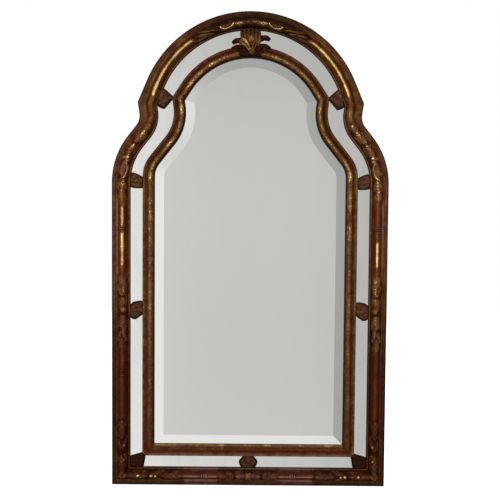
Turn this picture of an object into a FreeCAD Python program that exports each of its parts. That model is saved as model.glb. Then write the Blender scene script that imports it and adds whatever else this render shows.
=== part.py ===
import FreeCAD, Part
import math
import os

# A wall mirror with marginal plates, built piece by piece.
# X runs to the right and Z up, as seen from the front. The front faces -Y and the wall is the plane Y = 0.
# A depth is measured forward from the wall. An inset is measured inward from a moulding's outer edge.

Vector = FreeCAD.Vector
ORIGIN = Vector(0, 0, 0)
RIGHT = Vector(1, 0, 0)
BACK = Vector(0, 1, 0)
UP = Vector(0, 0, 1)

# Driving sizes in millimetres: the frame and its two mouldings
FRAME_WIDTH = 880.0
FRAME_HEIGHT = 1516.0
FRAME_DEPTH = 52.0
OUTER_WIDTH = 60.0
INNER_WIDTH = 38.0
INNER_DEPTH = 46.0
MARGIN_SIDE = 38.0
MARGIN_TOP = 48.0
MARGIN_BOTTOM = 36.0

# The bends of both mouldings, on their outer edges
OUTER_STEP = 82.0
OUTER_LEG = 73.5
OUTER_STUB = 35.0
OUTER_CONVEX = 240.0
OUTER_CONCAVE = 50.7
OUTER_DEGREES = (22.9, 8.8, 38.3)
INNER_STEP = 93.0
INNER_LEG = 52.0
INNER_STUB = 32.0
INNER_CONVEX = 106.3
INNER_CONCAVE = 121.5
INNER_DEGREES = (33.1, 7.6, 38.5)

# Ground boards, backboards and glass
BACK_RECESS = 10.0
GROUND_THICKNESS = 14.0
GROUND_LAP = 16.0
GROUND_JOINT = 70.0
BACKBOARD_THICKNESS = 4.0
BACKBOARD_LAP = 25.0
MARGIN_GLASS = 3.0
MARGIN_LAP = 6.0
MARGIN_GAP = 3.0
PLATE_GLASS = 5.0
PLATE_EDGE = 2.3
PLATE_LAP = 7.2
PLATE_LIP = 8.0
BEVEL_WIDTH = 30.0
BLOCK_LENGTH = 36.0
BLOCK_WIDTH = 12.0

# Clasps and crest
CLASP_THICKNESS = 10.0
CLASP_LAP = 4.0
EAR_CLASP_LENGTH = 80.0
SHOULDER_CLASP_LENGTH = 52.0
SHOULDER_CLASP_RAISE = 6.5
MIDDLE_CLASP_LENGTH = 62.0
BOTTOM_CLASP_LENGTH = 64.0
CORNER_CLASP_REACH = 12.0
CREST_WIDTH = 116.0
CREST_DROP = 28.0

# Fasteners
SCREW_DIAMETER = 4.0
SCREW_HEAD = 8.0
OUTER_SCREW_LENGTH = 19.0
INNER_SCREW_LENGTH = 28.0
BACK_SCREW_LENGTH = 15.0
HANGER_SCREW_LENGTH = 12.0
PIN_DIAMETER = 2.5
PIN_LENGTH = 23.0
DOWEL_DIAMETER = 10.0
DOWEL_LENGTH = 50.0
KEY_LEG = 42.0
KEY_THICKNESS = 4.0

# Hangers
HANGER_DROP = 95.0
STRAP_WIDTH = 16.0
STRAP_LENGTH = 55.0
STRAP_THICKNESS = 1.5
RING_WIRE = 4.0
RING_WIDTH = 30.0
RING_CORNER = 5.0
RING_SIDE = 7.0

# Clearances, and the one overrun of cuts
BOARD_PLAY = 0.5
GLASS_PLAY = 0.2
RING_PLAY = 0.3
OVERRUN = 5.0

# Stations and proportions
OUTER_SCREW_RAIL_SHARES = (0.2, 0.65)
OUTER_SCREW_STILE_SHARES = (0.15, 0.4, 0.65, 0.9)
INNER_SCREW_RAIL_SHARES = (0.3, 0.75)
INNER_SCREW_STILE_SHARES = (0.14, 0.4, 0.62, 0.9)
BACK_SCREW_RAIL_SHARES = (0.55,)
BACK_SCREW_STILE_SHARES = (0.22, 0.46, 0.54, 0.82)
OUTER_SCREW_BEND_SHARE = 0.5
INNER_SCREW_BEND_SHARE = 0.3
BACK_SCREW_BEND_SHARE = 0.75
SCREW_ARCH_DEGREES = (45.0, 72.0)
BACK_SCREW_ARCH_DEGREES = (58.0,)
SCREW_TIP_SHARE = 0.25
STRAP_SCREW_SHARES = (0.32, 0.76)
BLOCK_RAIL_SHARE = 0.5
BLOCK_STILE_SHARES = (0.12, 0.45, 0.78)
MIDDLE_CLASP_SHARE = 0.583
DOWEL_INSET_SHARE = 0.36
DOWEL_DEPTH_SHARE = 0.27
KEY_DEPTH_SHARE = 0.24
BACKBOARD_SPLIT_SHARES = (0.33, 0.64)

# Front of the mouldings from the outer edge to the sight edge: shares of the width and of the height above
# the seat of the glass. A move holds the end of a line, or the middle and the end of an arc.
OUTER_FRONT_SHARES = (
    ((0.0, 0.0),),
    ((0.10, 0.22), (0.22, 0.06)),
    ((0.25, 0.02),),
    ((0.33, 0.24), (0.36, 0.62)),
    ((0.525, 1.0), (0.69, 0.62)),
    ((0.715, 0.30), (0.79, 0.16)),
    ((0.845, 0.26), (0.90, 0.16)),
    ((1.0, 0.10),),
)
INNER_FRONT_SHARES = (
    ((0.0, 0.12),),
    ((0.095, 0.28), (0.19, 0.14)),
    ((0.22, 0.08),),
    ((0.31, 0.24), (0.34, 0.58)),
    ((0.54, 1.0), (0.74, 0.58)),
    ((0.77, 0.50),),
    ((0.80, 0.50),),
    ((0.86, 0.18), (1.0, 0.08)),
)

# Outlines of clasps and crest: shares of the half reach across the band, inward, and of the half length
EAR_CLASP_SHARES = ((-0.14, 0.85), (0.48, 1), (1, 0.08), (1, -0.12), (-0.44, -0.6), (-0.97, -0.12))
SHOULDER_CLASP_SHARES = (
    (-1, 0.95), (-0.45, 1), (0.2, 0.8), (1, 0.4), (1, -0.95), (-0.2, -0.95), (-1, -0.8),
)
MIDDLE_CLASP_SHARES = (
    (-1, 0.5), (-0.45, 0.85), (0.6, 1), (1, 0.8), (1, -0.4), (-0.1, -1), (-0.55, -0.95), (-1, -0.7),
)
BOTTOM_CLASP_SHARES = ((-1, 0.8), (0, 1), (1, 0.55), (1, -0.55), (0, -1), (-1, -0.8))
CORNER_SLANT_SHARE = 0.35
CREST_HALF_SHARES = ((0.17, 0), (0.5, 0.22), (0.9, 0.3), (1, 0.55), (0.52, 0.62), (0.55, 1))

# Levels in front of the wall, all drawn from the sizes above
GROUND_FRONT = BACK_RECESS + GROUND_THICKNESS
MARGIN_FRONT = GROUND_FRONT + MARGIN_GLASS
SEAT = MARGIN_FRONT + GLASS_PLAY
CLASP_FRONT = MARGIN_FRONT + CLASP_THICKNESS
MARGIN_REBATE = MARGIN_LAP + BOARD_PLAY
BEVEL_TOTAL = BEVEL_WIDTH + PLATE_LAP
PLATE_SLOPE = (PLATE_GLASS - PLATE_EDGE) / BEVEL_TOTAL
PLATE_BACK = GROUND_FRONT - GLASS_PLAY - PLATE_EDGE - PLATE_LAP * PLATE_SLOPE
PLATE_FRONT = PLATE_BACK + PLATE_GLASS
GROUND_EDGE = OUTER_WIDTH - GROUND_LAP + BOARD_PLAY
OPENING = INNER_WIDTH - PLATE_LIP
OUTER_SCREW_INSET = OUTER_WIDTH - (GROUND_LAP + MARGIN_REBATE) / 2
INNER_SCREW_INSET = INNER_WIDTH / 2
BACK_SCREW_INSET = OPENING - BACKBOARD_LAP / 2
EYE_INNER = RING_WIRE / 2 + RING_PLAY
EYE_OUTER = EYE_INNER + STRAP_THICKNESS
RING_DEPTH = BACK_RECESS - EYE_OUTER


class Line:
    """The outer edge of a moulding: rail, stile, S-shaped shoulder, ear and arch. The right half is kept."""

    def __init__(self, half_width, bottom, top, bends, degrees):
        ear_step, self.leg, self.stub, self.convex, self.concave = bends
        self.spring, self.flare, self.slope = [math.radians(value) for value in degrees]
        self.half_width = half_width
        self.bottom = bottom
        self.top = top
        # The arch is as wide as the ears leave it, and its straight legs run into it without a bend
        ear_x = half_width - ear_step
        self.arch_radius = (ear_x - self.leg * math.sin(self.spring)) / math.cos(self.spring)
        self.arch_centre = (0, top - self.arch_radius)
        self.ear = step(self.arch_point(self.spring, 0), self.spring, -self.leg)
        # The slope between the two bends closes the line sideways, and the stile takes up the rest in height
        turn_x = self.convex * (1 - math.cos(self.slope))
        turn_x += self.concave * (math.cos(self.flare) - math.cos(self.slope))
        turn_z = (self.convex + self.concave) * math.sin(self.slope) + self.concave * math.sin(self.flare)
        stub_x = self.stub * math.sin(self.flare)
        stub_z = self.stub * math.cos(self.flare)
        self.run = (half_width - turn_x + stub_x - self.ear[0]) / math.sin(self.slope)
        self.stile_top = self.ear[1] - turn_z - stub_z - self.run * math.cos(self.slope)
        self.convex_centre = (half_width - self.convex, self.stile_top)
        slope_foot = around(self.convex_centre, self.convex, self.slope)
        slope_head = step(slope_foot, self.slope, self.run)
        self.concave_centre = around(slope_head, self.concave, self.slope)

    def arch_point(self, angle, inset):
        return around(self.arch_centre, self.arch_radius - inset, angle)

    def convex_point(self, angle, inset):
        return around(self.convex_centre, self.convex - inset, angle)

    def concave_point(self, heading, inset):
        return around(self.concave_centre, -(self.concave + inset), heading)

    def rail_point(self, share, inset):
        return (share * self.half_width, self.bottom + inset)

    def stile_point(self, share, inset):
        return (self.half_width - inset, self.bottom + share * (self.stile_top - self.bottom))

    def ear_heading(self):
        return (self.spring - self.flare) / 2

    def ear_point(self, inset):
        bend = (self.spring + self.flare) / 2
        return around(self.ear, -inset / math.cos(bend), self.ear_heading())

    def half_edges(self, inset, depth):
        """Edges of the right half at an inset, from the bottom centre to the top centre."""
        middle = (self.slope - self.flare) / 2
        corner = (self.half_width - inset, self.bottom + inset)
        moves = (
            (corner,),
            (self.convex_point(0, inset),),
            (self.convex_point(self.slope / 2, inset), self.convex_point(self.slope, inset)),
            (self.concave_point(self.slope, inset),),
            (self.concave_point(middle, inset), self.concave_point(-self.flare, inset)),
            (self.ear_point(inset),),
            (self.arch_point(self.spring, inset),),
            (
                self.arch_point((self.spring + math.pi / 2) / 2, inset),
                (0, self.top - inset),
            ),
        )
        return trace(lambda x, z: at(x, z, depth), self.rail_point(0, inset), moves)


def at(x, z, depth):
    return Vector(x, -depth, z)


def around(centre, radius, angle):
    """Point at a radius and angle about a centre."""
    return (centre[0] + radius * math.cos(angle), centre[1] + radius * math.sin(angle))


def step(point, heading, length):
    """Point reached by going a length along a heading, an angle to the left of straight up."""
    return (point[0] - length * math.sin(heading), point[1] + length * math.cos(heading))


def facing(heading):
    return Vector(-math.sin(heading), 0, math.cos(heading))


def trace(place, start, moves):
    """Edges of a chain of lines and arcs. Each move holds an end, or the middle and the end of an arc."""
    edges = []
    here = place(*start)
    for move in moves:
        points = [place(*point) for point in move]
        if len(points) == 1:
            edges.append(Part.LineSegment(here, points[0]).toShape())
        else:
            edges.append(Part.Arc(here, *points).toShape())
        here = points[-1]
    return edges


def mirrored(shape):
    return shape.mirror(ORIGIN, RIGHT)


def both(shapes):
    """The shapes and their mirror images."""
    return list(shapes) + [mirrored(shape) for shape in shapes]


def fused(shapes):
    return shapes[0].multiFuse(shapes[1:]).removeSplitter()


def prism(points, back, front):
    """Solid over a polygon of (x, z) points between two depths."""
    corners = [at(x, z, back) for x, z in points]
    face = Part.Face(Part.makePolygon(corners + corners[:1]))
    return face.extrude(BACK * (back - front))


def slab(line, inset, back, front):
    """Solid over all that a line encloses at an inset, between two depths."""
    edges = both(line.half_edges(inset, back))
    face = Part.Face(Part.Wire(Part.__sortEdges__(edges)))
    return face.extrude(BACK * (back - front))


def box(low_x, high_x, low_z, high_z, back, front):
    return prism(((low_x, low_z), (high_x, low_z), (high_x, high_z), (low_x, high_z)), back, front)


def beyond(point, direction):
    """All that lies past a point in a direction, for cutting an end."""
    side = FRAME_WIDTH + FRAME_HEIGHT
    block = Part.makeBox(side, side, side, Vector(-side / 2, -side / 2, 0))
    block.Placement = FreeCAD.Placement(at(*point, 0), FreeCAD.Rotation(UP, direction))
    return block


def section(moves, point, heading):
    """A moulding's cross-section set across its line at a point. The moves are in inset and depth."""
    inward = Vector(-math.cos(heading), 0, -math.sin(heading))
    corner = at(*point, 0)

    def set_off(inset, depth):
        return corner + inward * inset - BACK * depth

    edges = trace(set_off, moves[0][-1], moves[1:] + moves[:1])
    return Part.Face(Part.Wire(edges))


def straight(moves, point, heading, length):
    return section(moves, point, heading).extrude(facing(heading) * length)


def turned(moves, point, heading, centre, turn):
    """A moulding bent about a centre. A positive turn goes to the left."""
    return section(moves, point, heading).revolve(at(*centre, 0), -BACK, math.degrees(turn))


def front_moves(shares, width, depth):
    rise = depth - SEAT
    return [[(width * across, SEAT + rise * up) for across, up in move] for move in shares]


def outer_moves():
    """Cross-section of the outer moulding, with its steps for the ground boards and the marginal glass."""
    moves = [[(0, 0)]] + front_moves(OUTER_FRONT_SHARES, OUTER_WIDTH, FRAME_DEPTH)
    moves += [[(OUTER_WIDTH, SEAT)]]
    moves += [[(OUTER_WIDTH - MARGIN_REBATE, SEAT)], [(OUTER_WIDTH - MARGIN_REBATE, GROUND_FRONT)]]
    moves += [[(OUTER_WIDTH - GROUND_LAP, GROUND_FRONT)], [(OUTER_WIDTH - GROUND_LAP, 0)]]
    return moves


def inner_moves():
    """Cross-section of the inner moulding, which lies on the ground boards and laps both glasses."""
    moves = [[(0, SEAT)]] + front_moves(INNER_FRONT_SHARES, INNER_WIDTH, INNER_DEPTH)
    moves += [[(INNER_WIDTH, GROUND_FRONT)]]
    moves += [[(MARGIN_REBATE, GROUND_FRONT)], [(MARGIN_REBATE, SEAT)]]
    return moves


def bevel_moves():
    """Cross-section of the wedge that is ground off the main plate."""
    edge = INNER_WIDTH - PLATE_LAP
    low = PLATE_BACK + PLATE_EDGE
    high = PLATE_FRONT + OVERRUN
    return [
        [(edge, low)],
        [(edge + BEVEL_TOTAL, PLATE_FRONT)],
        [(edge + BEVEL_TOTAL, high)],
        [(edge - OVERRUN, high)],
        [(edge - OVERRUN, low)],
    ]


def rail(line, moves):
    corner = (line.half_width, line.bottom)
    full = straight(moves, (-line.half_width, line.bottom), -math.pi / 2, 2 * line.half_width)
    cutter = beyond(corner, RIGHT + UP)
    return full.cut(Part.makeCompound(both([cutter])))


def stile(line, moves):
    corner = (line.half_width, line.bottom)
    full = straight(moves, corner, 0, line.stile_top - line.bottom)
    return full.cut(beyond(corner, -RIGHT - UP))


def shoulder(line, moves):
    slope = line.slope
    runs = [
        turned(moves, line.convex_point(0, 0), 0, line.convex_centre, slope),
        straight(moves, line.convex_point(slope, 0), slope, line.run),
        turned(moves, line.concave_point(slope, 0), slope, line.concave_centre, -slope - line.flare),
        straight(moves, line.concave_point(-line.flare, 0), -line.flare, line.stub),
    ]
    return fused(runs).cut(beyond(line.ear, facing(line.ear_heading())))


def arch(line, moves):
    spring = line.spring
    leg = straight(moves, line.ear, spring, line.leg).cut(beyond(line.ear, -facing(line.ear_heading())))
    bend = turned(moves, line.arch_point(spring, 0), spring, line.arch_centre, math.pi / 2 - spring)
    return fused([leg, bend])


def sided(name, shape):
    """A piece made for the right side, and its twin for the left."""
    return {"right_" + name: shape, "left_" + name: mirrored(shape)}


def moulding(prefix, line, moves):
    pieces = {prefix + "_bottom_rail": rail(line, moves)}
    pieces.update(sided(prefix + "_stile", stile(line, moves)))
    pieces.update(sided(prefix + "_shoulder", shoulder(line, moves)))
    pieces.update(sided(prefix + "_arch", arch(line, moves)))
    return pieces


def middle(first, second):
    return ((first[0] + second[0]) / 2, (first[1] + second[1]) / 2)


def ring_stations(outer, inner):
    """Centre and inward heading of each place where a clasp crosses the marginal band, on the right side."""
    outer_ear = outer.ear_point(OUTER_WIDTH)
    ear_heading = math.atan2(outer_ear[1] - inner.ear[1], outer_ear[0] - inner.ear[0])
    side_x = outer.half_width - OUTER_WIDTH - MARGIN_SIDE / 2
    middle_z = outer.stile_point(MIDDLE_CLASP_SHARE, 0)[1]
    return {
        "ear": (middle(outer_ear, inner.ear), ear_heading),
        "shoulder": ((side_x, outer.stile_top + SHOULDER_CLASP_RAISE), 0),
        "middle": ((side_x, middle_z), 0),
    }


def local_point(station, across, along):
    """Point set off from a station: across is inward, along follows the band."""
    centre, heading = station
    x = centre[0] - across * math.cos(heading) - along * math.sin(heading)
    return (x, centre[1] - across * math.sin(heading) + along * math.cos(heading))


def clasp_blank(station, shares, reach, length):
    points = [local_point(station, across * reach, along * length / 2) for across, along in shares]
    return prism(points, MARGIN_FRONT, CLASP_FRONT)


def corner_blank(outer, inner):
    """The clasp that fills the bottom right corner of the marginal band and runs a little way past it."""
    low = OUTER_WIDTH - CLASP_LAP
    high_x = outer.half_width - low
    inner_x = inner.half_width - CLASP_LAP
    inner_z = inner.bottom + CLASP_LAP
    slant = CORNER_CLASP_REACH * CORNER_SLANT_SHARE
    points = (
        (high_x, low),
        (high_x, inner.bottom + slant),
        (inner_x, inner.bottom + CORNER_CLASP_REACH),
        (inner_x, inner_z),
        (inner.half_width - CORNER_CLASP_REACH, inner_z),
        (inner.half_width - slant, low),
    )
    return prism(points, MARGIN_FRONT, CLASP_FRONT)


def clasps(outer, inner, mouldings):
    """Clasps and crest, each fitted over the lips that it laps."""
    stations = ring_stations(outer, inner)
    reach = MARGIN_SIDE / 2 + CLASP_LAP
    outer_ear = outer.ear_point(OUTER_WIDTH)
    ear_reach = math.dist(outer_ear, inner.ear) / 2 + CLASP_LAP
    bottom_station = ((0, OUTER_WIDTH + MARGIN_BOTTOM / 2), -math.pi / 2)
    bottom_reach = MARGIN_BOTTOM / 2 + CLASP_LAP
    crest_top = outer.top - OUTER_WIDTH + CLASP_LAP
    crest_rise = crest_top - inner.top + CREST_DROP
    right = [
        (CREST_WIDTH / 2 * across, crest_top - crest_rise * (1 - up)) for across, up in CREST_HALF_SHARES
    ]
    left = [(-x, z) for x, z in reversed(right)]
    fit = Part.makeCompound(list(mouldings.values()))
    pieces = {}
    ear, shoulder, half_way = (stations[name] for name in ("ear", "shoulder", "middle"))
    blanks = {
        "ear_clasp": clasp_blank(ear, EAR_CLASP_SHARES, ear_reach, EAR_CLASP_LENGTH),
        "shoulder_clasp": clasp_blank(shoulder, SHOULDER_CLASP_SHARES, reach, SHOULDER_CLASP_LENGTH),
        "middle_clasp": clasp_blank(half_way, MIDDLE_CLASP_SHARES, reach, MIDDLE_CLASP_LENGTH),
        "corner_clasp": corner_blank(outer, inner),
    }
    for name, blank in blanks.items():
        pieces.update(sided(name, blank.cut(fit)))
    bottom_blank = clasp_blank(bottom_station, BOTTOM_CLASP_SHARES, bottom_reach, BOTTOM_CLASP_LENGTH)
    pieces["bottom_clasp"] = bottom_blank.cut(fit)
    pieces["crest"] = prism(right + left, MARGIN_FRONT, FRAME_DEPTH).cut(fit)
    return pieces


def pin_places(outer, inner):
    """Where a pin holds each clasp, in the gap between two marginal plates."""
    places = [station[0] for station in ring_stations(outer, inner).values()]
    corner_x = (outer.half_width - OUTER_WIDTH + inner.half_width) / 2
    places.append((corner_x, OUTER_WIDTH + MARGIN_BOTTOM / 2))
    places += [(-x, z) for x, z in places]
    places.append((0, OUTER_WIDTH + MARGIN_BOTTOM / 2))
    places.append((0, (outer.top - OUTER_WIDTH + inner.top) / 2))
    return places


def band_gaps(outer, inner):
    """Cutters for the gaps between marginal plates on the right side, and those on the centre line."""
    half = MARGIN_GAP / 2
    length = OUTER_WIDTH + MARGIN_TOP
    gaps = []
    corner = (
        (outer.half_width - OUTER_WIDTH, OUTER_WIDTH),
        (inner.half_width, inner.bottom),
    )
    corner_heading = math.atan2(corner[0][1] - corner[1][1], corner[0][0] - corner[1][0])
    stations = list(ring_stations(outer, inner).values())
    stations.append((middle(*corner), corner_heading))
    for station in stations:
        ends = ((-length, -half), (length, -half), (length, half), (-length, half))
        points = [local_point(station, across, along) for across, along in ends]
        gaps.append(prism(points, GROUND_FRONT - OVERRUN, SEAT + OVERRUN))
    centre = box(-half, half, -OVERRUN, FRAME_HEIGHT, GROUND_FRONT - OVERRUN, SEAT + OVERRUN)
    return both(gaps) + [centre]


def margin_plates(outer, inner):
    """The ring of marginal glass, parted at every clasp."""
    ring = slab(outer, OUTER_WIDTH - MARGIN_LAP, GROUND_FRONT, MARGIN_FRONT)
    ring = ring.cut(slab(inner, MARGIN_LAP, GROUND_FRONT, MARGIN_FRONT))
    solids = ring.cut(Part.makeCompound(band_gaps(outer, inner))).Solids
    names = ("bottom", "lower", "middle", "shoulder", "arch")
    pieces = {}
    for side, sign in (("right", 1), ("left", -1)):
        own = [solid for solid in solids if solid.CenterOfMass.x * sign > 0]
        own.sort(key=lambda solid: solid.CenterOfMass.z)
        for name, solid in zip(names, own):
            pieces[side + "_" + name + "_plate"] = solid
    return pieces


def main_plate(inner):
    """The main plate with its ground bevel."""
    plate = slab(inner, INNER_WIDTH - PLATE_LAP, PLATE_BACK, PLATE_FRONT)
    moves = bevel_moves()
    wedges = [rail(inner, moves)]
    wedges += both([stile(inner, moves), shoulder(inner, moves), arch(inner, moves)])
    return plate.cut(Part.makeCompound(wedges))


def ground_boards(outer, inner):
    """The ring of boards that carries everything, parted by half laps."""
    ring = slab(outer, GROUND_EDGE, BACK_RECESS, GROUND_FRONT)
    ring = ring.cut(slab(inner, OPENING, BACK_RECESS - OVERRUN, GROUND_FRONT + OVERRUN))
    lap = BACK_RECESS + GROUND_THICKNESS / 2
    low, high = BACK_RECESS - OVERRUN, GROUND_FRONT + OVERRUN
    wide = FRAME_WIDTH
    opening_x = inner.half_width - OPENING
    opening_z = inner.bottom + OPENING
    half = GROUND_JOINT / 2
    joint_low, joint_high = outer.stile_top, outer.ear[1]
    back_rail = box(-opening_x, opening_x, -OVERRUN, opening_z, low, lap)
    front_rail = box(-wide, wide, -OVERRUN, opening_z, lap, high)
    back_stile = box(opening_x, wide, -OVERRUN, joint_low + half, low, lap)
    front_stile = box(opening_x, wide, opening_z, joint_low - half, lap, high)
    back_shoulder = box(0, wide, joint_low + half, joint_high + half, low, lap)
    front_shoulder = box(0, wide, joint_low - half, joint_high - half, lap, high)
    back_crown = box(-wide, wide, joint_high + half, FRAME_HEIGHT, low, lap)
    front_crown = box(-wide, wide, joint_high - half, FRAME_HEIGHT, lap, high)
    pieces = {"ground_bottom_rail": ring.common(fused([back_rail, front_rail]))}
    pieces.update(sided("ground_stile", ring.common(fused([back_stile, front_stile]))))
    pieces.update(sided("ground_shoulder", ring.common(fused([back_shoulder, front_shoulder]))))
    pieces["ground_crown"] = ring.common(fused([back_crown, front_crown]))
    return pieces


def backboards(inner):
    """Three boards that close the back of the opening."""
    inset = OPENING - BACKBOARD_LAP
    back = BACK_RECESS - BACKBOARD_THICKNESS
    panel = slab(inner, inset, back, BACK_RECESS)
    height = inner.top - inner.bottom
    cuts = [inner.bottom + height * share for share in BACKBOARD_SPLIT_SHARES]
    edges = [-OVERRUN] + cuts + [FRAME_HEIGHT]
    pieces = {}
    for name, low, high in zip(("lower", "middle", "upper"), edges[:-1], edges[1:]):
        strip = box(-FRAME_WIDTH, FRAME_WIDTH, low + BOARD_PLAY / 2, high - BOARD_PLAY / 2, back, BACK_RECESS)
        pieces[name + "_backboard"] = panel.common(strip)
    return pieces


def glazing_blocks(inner):
    """Blocks glued round the opening, which hold the main plate forward."""
    half = BLOCK_LENGTH / 2
    leg_middle = step(inner.ear, inner.spring, inner.leg - half)
    stations = [(inner.stile_point(share, 0), 0) for share in BLOCK_STILE_SHARES]
    stations.append((leg_middle, inner.spring))
    stations.append((inner.rail_point(BLOCK_RAIL_SHARE, 0), -math.pi / 2))
    blocks = []
    for station in stations:
        ends = (
            (OPENING, -half), (OPENING + BLOCK_WIDTH, -half), (OPENING + BLOCK_WIDTH, half), (OPENING, half),
        )
        blocks.append(prism([local_point(station, *end) for end in ends], BACK_RECESS, PLATE_BACK))
    return Part.makeCompound(both(blocks))


def screw(place, depth, length):
    """Countersunk wood screw driven forward, with its head flush at a depth."""
    shank = SCREW_DIAMETER / 2
    head = SCREW_HEAD / 2
    tip = length * (1 - SCREW_TIP_SHARE)
    profile = ((0, 0), (head, 0), (shank, head - shank), (shank, tip), (0, length))
    points = [Vector(place[0] + radius, -depth - along, place[1]) for radius, along in profile]
    face = Part.Face(Part.makePolygon(points + points[:1]))
    return face.revolve(at(*place, 0), BACK, 360)


def screws_round(line, inset, depth, length, rail_shares, stile_shares, bend_share, arch_degrees):
    """Screws spread round a line, on both sides of the centre."""
    places = [line.rail_point(share, inset) for share in rail_shares]
    places += [line.stile_point(share, inset) for share in stile_shares]
    places.append(line.convex_point(line.slope * bend_share, inset))
    places += [line.arch_point(math.radians(angle), inset) for angle in arch_degrees]
    return Part.makeCompound(both([screw(place, depth, length) for place in places]))


def pins(places):
    radius = PIN_DIAMETER / 2
    return Part.makeCompound(
        [Part.makeCylinder(radius, PIN_LENGTH, at(*place, BACK_RECESS), -BACK) for place in places]
    )


def dowels(outer):
    """Dowels across the joints of the outer moulding above its mitred corners."""
    inset = OUTER_WIDTH * DOWEL_INSET_SHARE
    depth = FRAME_DEPTH * DOWEL_DEPTH_SHARE
    radius = DOWEL_DIAMETER / 2

    def dowel(point, direction):
        start = at(*point, depth) - direction * (DOWEL_LENGTH / 2)
        return Part.makeCylinder(radius, DOWEL_LENGTH, start, direction)

    stile_dowel = dowel((outer.half_width - inset, outer.stile_top), UP)
    ear_dowel = dowel(outer.ear_point(inset), facing(outer.ear_heading()))
    top_dowel = dowel((0, outer.top - inset), RIGHT)
    return Part.makeCompound(both([stile_dowel, ear_dowel]) + [top_dowel])


def mitre_keys(outer):
    """Thin keys let into the bottom corners."""
    back = FRAME_DEPTH * KEY_DEPTH_SHARE
    corner_x = outer.half_width
    points = ((corner_x, 0), (corner_x, KEY_LEG), (corner_x - KEY_LEG, 0))
    return Part.makeCompound(both([prism(points, back, back + KEY_THICKNESS)]))


def ring_pivot(outer, inner):
    """Where the right ring turns: the middle of the bare strip of ground board beside the backboards."""
    x = (outer.half_width - GROUND_EDGE + inner.half_width - OPENING + BACKBOARD_LAP) / 2
    return (x, outer.stile_top - HANGER_DROP)


def strap(pivot):
    """Strap screwed to the ground board, with its top rolled into an eye."""
    x, z = pivot
    half = STRAP_WIDTH / 2
    plate = box(x - half, x + half, z - STRAP_LENGTH, z, BACK_RECESS - STRAP_THICKNESS, BACK_RECESS)
    start = at(x - half, z, RING_DEPTH)
    eye = Part.makeCylinder(EYE_OUTER, STRAP_WIDTH, start, RIGHT)
    hole = Part.makeCylinder(EYE_INNER, STRAP_WIDTH + 2 * OVERRUN, start - RIGHT * OVERRUN, RIGHT)
    return fused([plate, eye]).cut(hole)


def hanger_ring(pivot):
    """Ring bent from round wire: a straight leg in the eye, two corners, two sides and a round bow."""
    wire = RING_WIRE / 2
    half = RING_WIDTH / 2
    leg = half - RING_CORNER
    top = at(*pivot, RING_DEPTH)
    corner_centre = top + RIGHT * leg - UP * RING_CORNER
    bow_centre = top - UP * (RING_CORNER + RING_SIDE)
    leg_end = top + RIGHT * leg
    side_top = top + RIGHT * half - UP * RING_CORNER
    across = Part.Face(Part.Wire(Part.makeCircle(wire, leg_end, RIGHT)))
    upright = Part.Face(Part.Wire(Part.makeCircle(wire, side_top, UP)))
    right = [
        Part.makeCylinder(wire, leg, top, RIGHT),
        across.revolve(corner_centre, BACK, 90),
        upright.extrude(-UP * RING_SIDE),
    ]
    low = upright.translated(-UP * RING_SIDE)
    bow = low.revolve(bow_centre, BACK, 180)
    offset = RIGHT * (2 * pivot[0])
    left = [mirrored(shape).translated(offset) for shape in right]
    return fused(right + left + [bow])


def hanger_screws(pivot):
    depth = BACK_RECESS - STRAP_THICKNESS
    places = [(pivot[0], pivot[1] - STRAP_LENGTH * share) for share in STRAP_SCREW_SHARES]
    return Part.makeCompound(both([screw(place, depth, HANGER_SCREW_LENGTH) for place in places]))


def cut_from(pieces, tool, words):
    """Cuts a tool from every piece whose name holds one of the words."""
    for name in pieces:
        if any(word in name for word in words):
            pieces[name] = pieces[name].cut(tool)


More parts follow.
